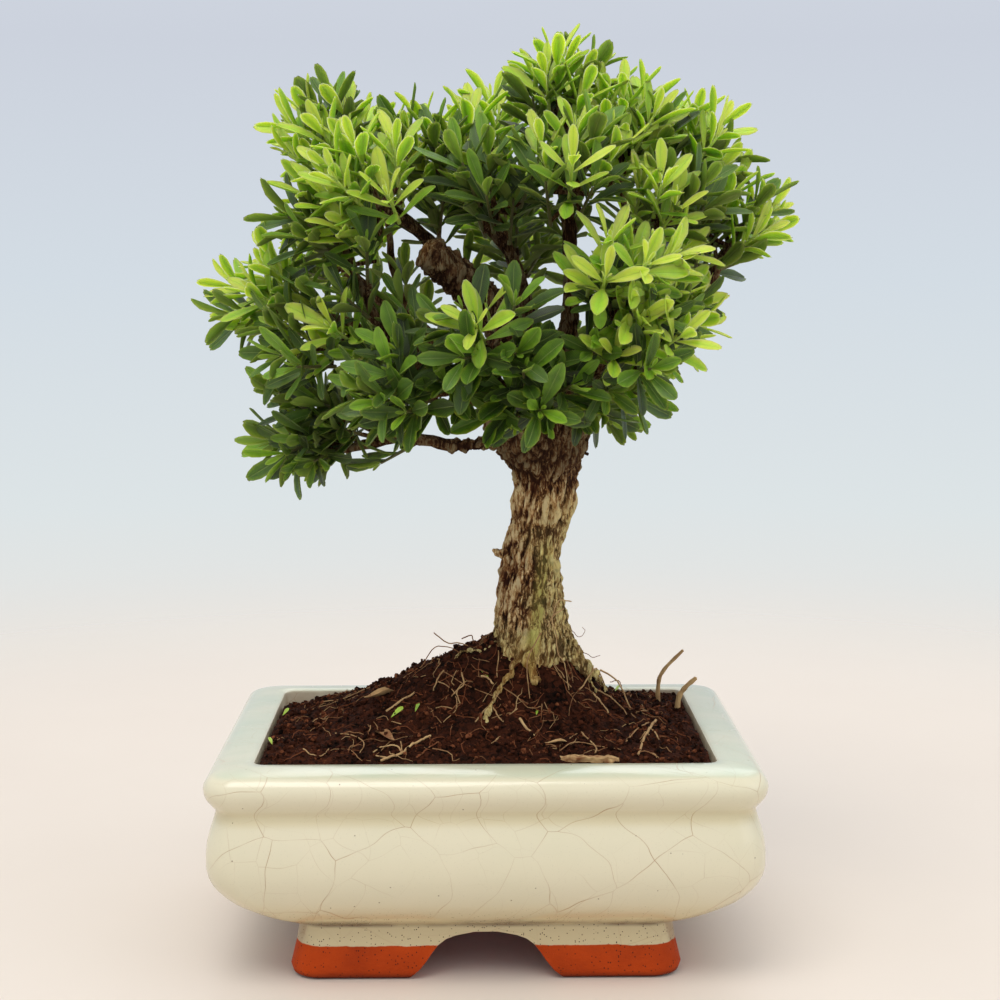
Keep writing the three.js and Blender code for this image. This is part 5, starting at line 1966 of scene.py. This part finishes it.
@dataclass
class LeafPattern:
    """One closed boxwood leaf, which every other is a copy of.

    Attributes:
        rows: Its outline from foot to tip: share of its length, half width as a share of its width.
        notch: How far the tip's middle is drawn back, as a share of its length.
        crease: How far the midrib lies below the halves of the blade, as a share of its width.
        thick: How thick it is at the midrib, as a share of its width.
        parked: How far off a row is moved while the others are still picked by their place.
        points: Its points as modelled: across, along and out of the blade.
        corners: The points of each face.
        blade: Where each corner lies on the blade, for its material.
    """

    rows: tuple[tuple[float, float], ...] = (
        (0, 0.06),
        (0.16, 0.17),
        (0.36, 0.35),
        (0.55, 0.47),
        (0.73, 0.5),
        (0.89, 0.34),
        (0.98, 0.13),
    )
    notch: float = 0.005
    crease: float = 0.07
    thick: float = 0.1
    parked: float = 10.0
    points: np.ndarray = field(init=False)
    corners: np.ndarray = field(init=False)
    blade: np.ndarray = field(init=False)

    def __post_init__(self) -> None:
        """Shapes the leaf from a grid and reads it back for the copies."""
        count = len(self.rows) - 1
        bpy.ops.mesh.primitive_grid_add(x_subdivisions=4, y_subdivisions=count, size=1)
        leaf = fresh("leaf")
        with Editing(leaf) as edit:
            for i in reversed(range(count + 1)):
                share, half = self.rows[i]
                row = i / count - 0.5
                edit.pick(lambda co: abs(co.y - row) < NEAR)
                edit.scale(2 * half, 1, 1, (0, 0, 0))
                edit.move(y=self.parked + share - row)
            tip = self.parked + self.rows[-1][0] - NEAR
            edit.pick(lambda co: co.y > tip and abs(co.x) < NEAR)
            edit.move(y=-self.notch)
            edit.pick(lambda co: abs(co.x) < NEAR)
            edit.move(z=-self.crease)
            self._backed(edit)
        self._read(leaf)
        bpy.data.objects.remove(leaf)

    def _backed(self, edit: Editing) -> None:
        """Copies the upper face for the under one, lets its inside down, and joins their edges."""
        edit.pick_all()
        bpy.ops.mesh.duplicate()
        bpy.ops.mesh.flip_normals()
        under = edit.picked()
        tip, foot = self.parked + self.rows[-1][0] - self.notch - NEAR, self.parked + 0.01
        halves = {round(share, 3): half for share, half in self.rows}

        def inner(co: Vector) -> bool:
            """True for a point inside the outline."""
            return foot < co.y < tip and abs(co.x) < 0.9 * halves[round(co.y - self.parked, 3)]

        edit.pick(inner, under)
        edit.move(z=-0.6 * self.thick)
        edit.pick(lambda co: foot < co.y < tip and abs(co.x) < NEAR, under)
        edit.move(z=-0.4 * self.thick)
        edit.pick_all()
        edit.move(y=-self.parked)
        bpy.ops.mesh.remove_doubles(threshold=1e-4)
        edit.face_out()

    def _read(self, leaf: Piece) -> None:
        """Keeps the leaf's points and faces, and where each corner lies on the blade."""
        self.points = places(leaf)
        self.corners = np.array([p.vertices[:] for p in leaf.data.polygons])
        shares, halves = zip(*self.rows)
        along = self.points[self.corners][:, :, 1]
        half = np.interp(along, shares, halves)
        over = np.clip(0.5 + 0.5 * self.points[self.corners][:, :, 0] / half, 0, 1)
        below = np.array([p.normal.z < 0 for p in leaf.data.polygons])
        self.blade = np.stack([over + 2.0 * below[:, None], along], 2)


@dataclass(frozen=True)
class Growth:
    """How one season's shoots look.

    Attributes:
        name: What its pieces are called.
        slot: The record's slot; not used.
        length: A leaf's length.
        width: Its width as a share of that.
        ages: The age of the leaves from the lowest pair to the tip.
        gloss: Roughness of the upper face.
        wood: The colour of the stem.
        through: How much light shines through a leaf.
    """

    name: str
    slot: Slot
    length: float
    width: float
    ages: tuple[float, ...]
    gloss: float
    wood: Colour
    through: float


class Season(Enum):
    """The two ages of shoots."""

    YOUNG = Growth(
        name="young",
        slot=Slot.YOUNG_LEAF,
        length=16,
        width=0.31,
        ages=(0.46, 0.36, 0.24, 0.15, 0.08, 0.02),
        gloss=0.46,
        wood=tint(160, 176, 78),
        through=0.8,
    )
    MATURE = Growth(
        name="mature",
        slot=Slot.MATURE_LEAF,
        length=17.5,
        width=0.33,
        ages=(0.98, 0.9, 0.8, 0.7, 0.58, 0.42),
        gloss=0.42,
        wood=tint(96, 92, 52),
        through=0.3,
    )


class Leafage:
    """The leaves and stems of many shoots, gathered for one piece."""

    def __init__(self, pattern: LeafPattern, growth: Growth) -> None:
        """Starts with no leaves.

        Args:
            pattern: The leaf that is copied.
            growth: How the leaves look.
        """
        self.pattern, self.growth = pattern, growth
        self.clipping = Clipping()
        self.blades: list[np.ndarray] = []
        self.ages: list[float] = []
        self.stems = Tubes()

    def shoot(self, shoot: Shoot) -> None:
        """Grows a shoot with its stem and all its leaves."""
        square = across(shoot.axis)
        rng = np.random.default_rng(shoot.key + 7)
        line = [shoot.foot - 0.5 * shoot.axis] + [shoot.foot + shoot.axis * h for h in shoot.nodes]
        self.stems.add(np.array(line), np.linspace(0.75, 0.45, len(line)), 5)
        for n in range(len(shoot.nodes)):
            for face in (n % 2, n % 2 + 2):
                self._leaf(shoot, n, face, square, rng)
        tip = shoot.foot + shoot.axis * (shoot.nodes[-1] + 0.3)
        for face in (1, 3):
            away = around(square, shoot.phase + face * math.pi / 2)
            along = unit(shoot.axis + 0.22 * away)
            long = self.growth.length * shoot.size * rng.uniform(0.24, 0.42)
            self.blade(tip + 0.25 * away, along, away, long, 0.85, self.growth.ages[-1] + shoot.shade, rng)

    def _leaf(self, shoot: Shoot, n: int, face: int, square: Pair, rng: np.random.Generator) -> None:
        """Grows one leaf of a pair, where the seeded rule puts it.

        Args:
            shoot: Its shoot.
            n: Its pair's number from the foot.
            face: Which side of the stem it is on.
            square: Two directions square to the stem.
            rng: Where its small differences come from.
        """
        key = shoot.key * 32 + n * 4 + face
        last = n == 4
        turn = shoot.phase + face * math.pi / 2
        spread = (0.42 if last else 1.12 - 0.13 * n) + 0.22 * (draw(LEAF_SEED, key, 1) - 0.5)
        if not shoot.solid:
            spread *= 0.9
        away = around(square, turn + 0.3 * (draw(LEAF_SEED, key, 2) - 0.5))
        along = shoot.axis * math.cos(spread) + away * math.sin(spread)
        long = self.growth.length * shoot.size * (0.8 if last else 1)
        long *= 0.85 + 0.3 * draw(LEAF_SEED, key, 3)
        foot = shoot.foot + shoot.axis * shoot.nodes[n] + around(square, turn) * 0.4
        if shoot.solid or self._has_room(foot + along * long):
            self.blade(foot, along, away, long, 1, self.growth.ages[n] + shoot.shade, rng)

    def _has_room(self, tip: np.ndarray) -> bool:
        """True if a leaf's tip is inside the crown's outline and not in front of the stub."""
        _, start, _, end = np.array(LIMBS["stub"].path, float)
        eye = np.array(self.clipping.eye)
        if tip[1] < end[1]:
            seen = eye + (tip - eye) * (end[1] - eye[1]) / (tip[1] - eye[1])
            share = np.clip((seen - end) @ (start - end) / ((start - end) @ (start - end)), 0, 0.7)
            if np.linalg.norm((seen - end - share * (start - end))[[0, 2]]) < 11:
                return False
        return self.clipping.excess(tip) < 2.5

    def blade(
        self,
        foot: np.ndarray,
        along: np.ndarray,
        away: np.ndarray,
        long: float,
        narrow: float,
        age: float,
        rng: np.random.Generator,
    ) -> None:
        """Copies the pattern to one place, bent, cupped and twisted a little.

        Args:
            foot: Where the leaf starts.
            along: The way that it points.
            away: The way out from its stem.
            long: Its length.
            narrow: Its width as a share of the usual.
            age: How old it looks.
            rng: Where its small differences come from.
        """
        side = unit(np.cross(away, along))
        normal = np.cross(side, along)
        wide = long * self.growth.width * narrow * rng.uniform(0.8, 1.02)
        x, t, z = self.pattern.points.T
        twist = rng.normal() * 0.22 * t
        cup = rng.normal(0.16, 0.14)
        droop = rng.normal(0.09, 0.05)
        across_leaf = x * wide * (1 + 0.03 * np.sin(9 * t + rng.uniform(0, 6)))
        rise = z * wide + cup * wide * (2 * x) ** 2 * 0.5 - droop * long * t**2
        sideways = across_leaf * np.cos(twist) - rise * np.sin(twist)
        upward = across_leaf * np.sin(twist) + rise * np.cos(twist)
        sway = rng.normal() * 0.03 * long * t**2
        points = foot + np.outer(t * long, along) + np.outer(sideways + sway, side)
        points = points + np.outer(upward, normal)
        if self._inside(points):
            self.blades.append(points)
            self.ages.append(float(np.clip(age + rng.normal() * 0.07, 0, 1)))

    @staticmethod
    def _inside(points: np.ndarray) -> bool:
        """True if all the points, in millimetres, are inside the solids' box."""
        placed = points * MM + np.array(POT_MIDDLE)
        return bool((placed > np.array(CAD_LOW)).all() and (placed < np.array(CAD_HIGH)).all())

    def made(self, name: str) -> Piece:
        """Puts leaves and stems into the scene as one piece, with what its material reads.

        Args:
            name: The piece's name.

        Returns:
            The piece, in millimetres.
        """
        count, size = len(self.blades), len(self.pattern.points)
        corners = np.concatenate([self.pattern.corners + i * size for i in range(count)])
        leaves = skin(name, np.vstack(self.blades), corners)
        note(leaves, "age", np.repeat(self.ages, size))
        note(leaves, "stem", 0)
        layer = leaves.data.uv_layers.new(name="blade")
        layer.data.foreach_set("uv", np.tile(self.pattern.blade.reshape(-1), count).astype(np.float32))
        if not self.stems.count:
            return leaves
        stems = self.stems.made("stems")
        note(stems, "stem", 1)
        note(stems, "age", 0.5)
        stems.data.uv_layers.new(name="blade")
        return joined(name, leaves, stems)


@dataclass
class Crown:
    """All the shoots, in pieces by the part of the crown and by the season.

    Attributes:
        shoots: The shoots.
        pattern: The leaf that all are copies of.
    """

    shoots: list[Shoot]
    pattern: LeafPattern

    def make(self, effects: Effects) -> None:
        """Builds and dresses the leafage of each part."""
        for season in Season:
            growth = season.value
            look = LivingLeaf(f"{growth.name}_leaf_skin", growth.gloss, growth.wood, growth.through)
            leaf = look.material(effects)
            for part in Part:
                shoots = [s for s in self.shoots if s.part is part and s.young == (season is Season.YOUNG)]
                leafage = Leafage(self.pattern, growth)
                for shoot in shoots:
                    leafage.shoot(shoot)
                piece = leafage.made(f"{growth.name}_leaves_{part.value}")
                finish(piece, 70, leaf, [s.solid for s in shoots if s.solid])


@dataclass(frozen=True)
class DryLeaf:
    """A curled dry leaf.

    Attributes:
        node: The solid that it stands for.
        x: Its middle.
        y: Its middle.
        turn: The way that it points.
        long: Its length.
        wide: Its width.
        roll: How far it is rolled, in radians from its midrib to its edge.
        tone: 0 for pale to 1 for brown.
    """

    node: str
    x: float
    y: float
    turn: float
    long: float
    wide: float
    roll: float
    tone: float


@dataclass
class FallenBits:
    """What lies on the soil: dry leaves, a bark chip and snippets of green leaf.

    Attributes:
        pattern: The leaf that dry and green ones are copies of.
        dry: The dry leaves.
        green: Each green snippet's place, turn and length.
    """

    pattern: LeafPattern
    dry: tuple[DryLeaf, ...] = (
        DryLeaf("dry_leaf_left", -36, -11, 0.6, 12.5, 5.5, 1.5, 0.25),
        DryLeaf("dry_leaf_front", -33, -36.5, 2.1, 12, 5, 1.1, 0.8),
        DryLeaf("soil", 23, -39.3, 0.1, 7.5, 3, 0.8, 0.2),
    )
    green: tuple[tuple[float, float, float, float], ...] = (
        (-31.6, -25, 0.9, 7),
        (-23.5, -26, 1.3, 5),
        (-72, 14, 1.1, 4.5),
        (17, -27.4, 1.4, 3.4),
        (-71, -30, 1.9, 4.2),
        (1, -16, 2.2, 4.6),
        (-0.5, -15, 0.9, 4),
        (48, 30, 1.1, 4.6),
        (-20, 38, 2.6, 4),
    )

    def make(self, effects: Effects) -> None:
        """Builds and dresses the bits."""
        dead = DeadLeaf().material(effects)
        for leaf in self.dry:
            finish(self._curled(leaf), 60, dead, [leaf.node])
        finish(self._chip(), 30, dead, ["bark_chip"])
        snippets = Leafage(self.pattern, Season.YOUNG.value)
        rng = np.random.default_rng(5)
        for x, y, turn, long in self.green:
            along = np.array([math.cos(turn), math.sin(turn), 0.5])
            foot = np.array([x, y, SoilHeap.surface(x, y) + 0.8])
            snippets.blade(foot, unit(along), np.array([0, 0, -1.0]), long, 1, 0.25, rng)
        piece = snippets.made("green_snippets")
        fallen = LivingLeaf("fallen_leaf_skin", 0.4, Season.YOUNG.value.wood, 0.3).material(effects)
        finish(piece, 70, fallen, ["soil"])

    def _curled(self, leaf: DryLeaf) -> Piece:
        """A dry leaf, rolled up across its width and bent along it."""
        across_leaf, along, out = self.pattern.points.T
        angle = across_leaf * 2 * leaf.roll
        bow = leaf.wide / (2 * leaf.roll)
        side = bow * np.sin(angle)
        up = bow * (1 - np.cos(angle)) + out * leaf.wide * 0.5 + 0.9 * np.sin(3 * along) * (along - 0.3)
        shift = (along - 0.5) * leaf.long
        c, s = math.cos(leaf.turn), math.sin(leaf.turn)
        x, y = leaf.x + shift * c - side * s, leaf.y + shift * s + side * c
        ground = np.array([SoilHeap.surface(*at) for at in zip(x, y)])
        below = SoilHeap.surface(leaf.x, leaf.y)
        lift = max(0.0, float((ground - up).max() - below))
        z = below + up + min(lift, 1.2) + 0.3
        piece = skin(f"{leaf.node}_curl", np.stack([x, y, z], 1), self.pattern.corners)
        note(piece, "tone", leaf.tone)
        return piece

    @staticmethod
    def _chip() -> Piece:
        """A chip of bark: a block cut finer, tapered at both ends and roughened."""
        x, y, turn, long, wide, thick = 33.4, -48.6, 3.04, 19, 3.2, 1.6
        bpy.ops.mesh.primitive_cube_add(size=1, scale=(long, wide, thick))
        chip = fixed("bark_chip_rough")
        with Editing(chip) as edit:
            edit.pick_all()
            bpy.ops.mesh.subdivide(number_cuts=15)
            edit.pick(lambda co: abs(co.x) > 0.42 * long)
            edit.scale(1, 0.6, 0.5, (0, 0, 0))
            edit.pick_all()
            edit.turn(-turn)
            edit.move(x, y, SoilHeap.surface(x, y) + 0.5 * thick)
        points = places(chip)
        for i, p in enumerate(points):
            points[i] += 0.6 * np.array(noise.noise_vector(Vector(p / 1.2)))
        put(chip, points)
        note(chip, "tone", np.array([0.4 + 0.9 * noise.noise(Vector(p / 1.1)) for p in points]))
        return chip


# ---- The studio ----


@dataclass(frozen=True)
class Lamp:
    """A soft lamp.

    Attributes:
        name: Its name.
        place: Where it hangs, in metres.
        size: The width of its square.
        power: Its power in watts.
        colour: Its light.
    """

    name: str
    place: Triple
    size: float
    power: float
    colour: Triple = (1, 1, 1)


@dataclass
class Studio:
    """The floor, the light and the camera.

    Attributes:
        eye: The camera's place, in millimetres from the pot's middle.
        tilt: How far it looks down, in degrees.
        pan: How far it looks to the right, in degrees.
        lens: Its focal length on a film 36 mm wide.
        lamps: The lamps.
        aim: What they point at, in metres.
        table: The colour of the table top.
        fade: Where the table top starts to fade out, and where it is gone, in metres.
        sky: The colour of the room's light by height, -1 straight down to 1 straight up.
    """

    eye: Triple = EYE
    tilt: float = 7.1
    pan: float = 0.96
    lens: float = 64.8
    lamps: tuple[Lamp, ...] = (
        Lamp("key", (-0.3, -0.6, 1.35), 0.8, 9, (1, 0.98, 0.94)),
        Lamp("fill", (1.2, -0.5, 0.7), 1.2, 3, (0.95, 0.97, 1)),
        Lamp("rim", (0.2, 1.1, 1.1), 1.0, 4),
    )
    aim: Triple = (0, 0, 0.14)
    table: Colour = tint(224, 212, 199)
    fade: tuple[float, float] = (0.22, 0.85)
    sky: tuple[tuple[float, Colour], ...] = (
        (-1.0, tint(240, 224, 206)),
        (-0.37, tint(246, 232, 219)),
        (-0.27, tint(240, 230, 219)),
        (-0.124, tint(221, 228, 230)),
        (0.0, tint(211, 220, 228)),
        (0.125, tint(204, 210, 221)),
        (0.5, tint(226, 232, 240)),
        (1.0, tint(250, 252, 255)),
    )

    def make(self) -> None:
        """Sets the floor, the light and the camera."""
        self._camera()
        self._floor()
        self._sky()
        for lamp in self.lamps:
            self._lamp(lamp)

    def _camera(self) -> None:
        """Puts the camera where the photographer stood."""
        camera = bpy.data.objects.new("camera", bpy.data.cameras.new("camera"))
        camera.data.lens, camera.data.sensor_width = self.lens, 36
        camera.location = POT_MIDDLE + Vector(self.eye) * MM
        camera.rotation_euler = (math.radians(90 - self.tilt), 0, math.radians(-self.pan))
        bpy.context.scene.collection.objects.link(camera)
        bpy.context.scene.camera = camera

    def _floor(self) -> None:
        """A pale table top that fades into the soft light of the room a little way off."""
        bpy.ops.mesh.primitive_circle_add(vertices=96, radius=self.fade[1], fill_type="NGON")
        floor = fresh("table_top")
        m = MaterialSheet("pale_table_top", Roughness=0.55, Specular_IOR_Level=0.3)
        place = m.place()
        away = m.add("VectorMath", {0: place}, operation="LENGTH").outputs["Value"]
        m.join(Base_Color=m.blend(m.times(m.noise(place, 9, 3), 0.4), self.table, tint(212, 198, 184)))
        m.join(Alpha=m.step(away, self.fade[1] * 0.98, self.fade[0]))
        floor.data.materials.append(m.material)

    def _sky(self) -> None:
        """Soft light from all round: cream from below, paler and cooler upwards."""
        world = bpy.data.worlds.new("soft_room")
        bpy.context.scene.world = world
        world.use_nodes = True
        s = Sheet(world.node_tree)
        up = s.add("SeparateXYZ", {0: s.add("TexCoord").outputs["Generated"]}).outputs[2]
        share = s.add("MapRange", {"Value": up, "From Min": -1.0, "From Max": 1.0}).outputs[0]
        background = world.node_tree.nodes["Background"]
        stops = [((height + 1) / 2, colour) for height, colour in self.sky]
        s.tree.links.new(s.ramp(share, stops), background.inputs["Color"])
        background.inputs["Strength"].default_value = 1.0
        bpy.context.scene.view_settings.view_transform = "Standard"

    def _lamp(self, lamp: Lamp) -> None:
        """Hangs a lamp that points at the tree."""
        light = bpy.data.lights.new(lamp.name, "AREA")
        light.size, light.energy, light.color = lamp.size, lamp.power, lamp.colour
        holder = bpy.data.objects.new(lamp.name, light)
        holder.location = lamp.place
        aim = Vector(self.aim) - Vector(lamp.place)
        holder.rotation_euler = aim.to_track_quat("-Z", "Y").to_euler()
        bpy.context.scene.collection.objects.link(holder)


def main() -> None:
    """Builds the studio, pot, soil, wood, leafage and litter, in that order."""
    logging.basicConfig(level=logging.INFO, format="%(message)s", stream=sys.stdout)
    noise.seed_set(BARK_SEED)  # without it noise_vector starts from the clock
    Studio().make()
    effects = Effects()
    shoots = Growing().shoots()
    pattern = LeafPattern()
    GlazedPot().make(effects)
    SoilHeap().make(effects)
    Wood(shoots).make(effects)
    Crown(shoots, pattern).make(effects)
    FallenBits(pattern).make(effects)


if __name__ == "__main__":
    main()
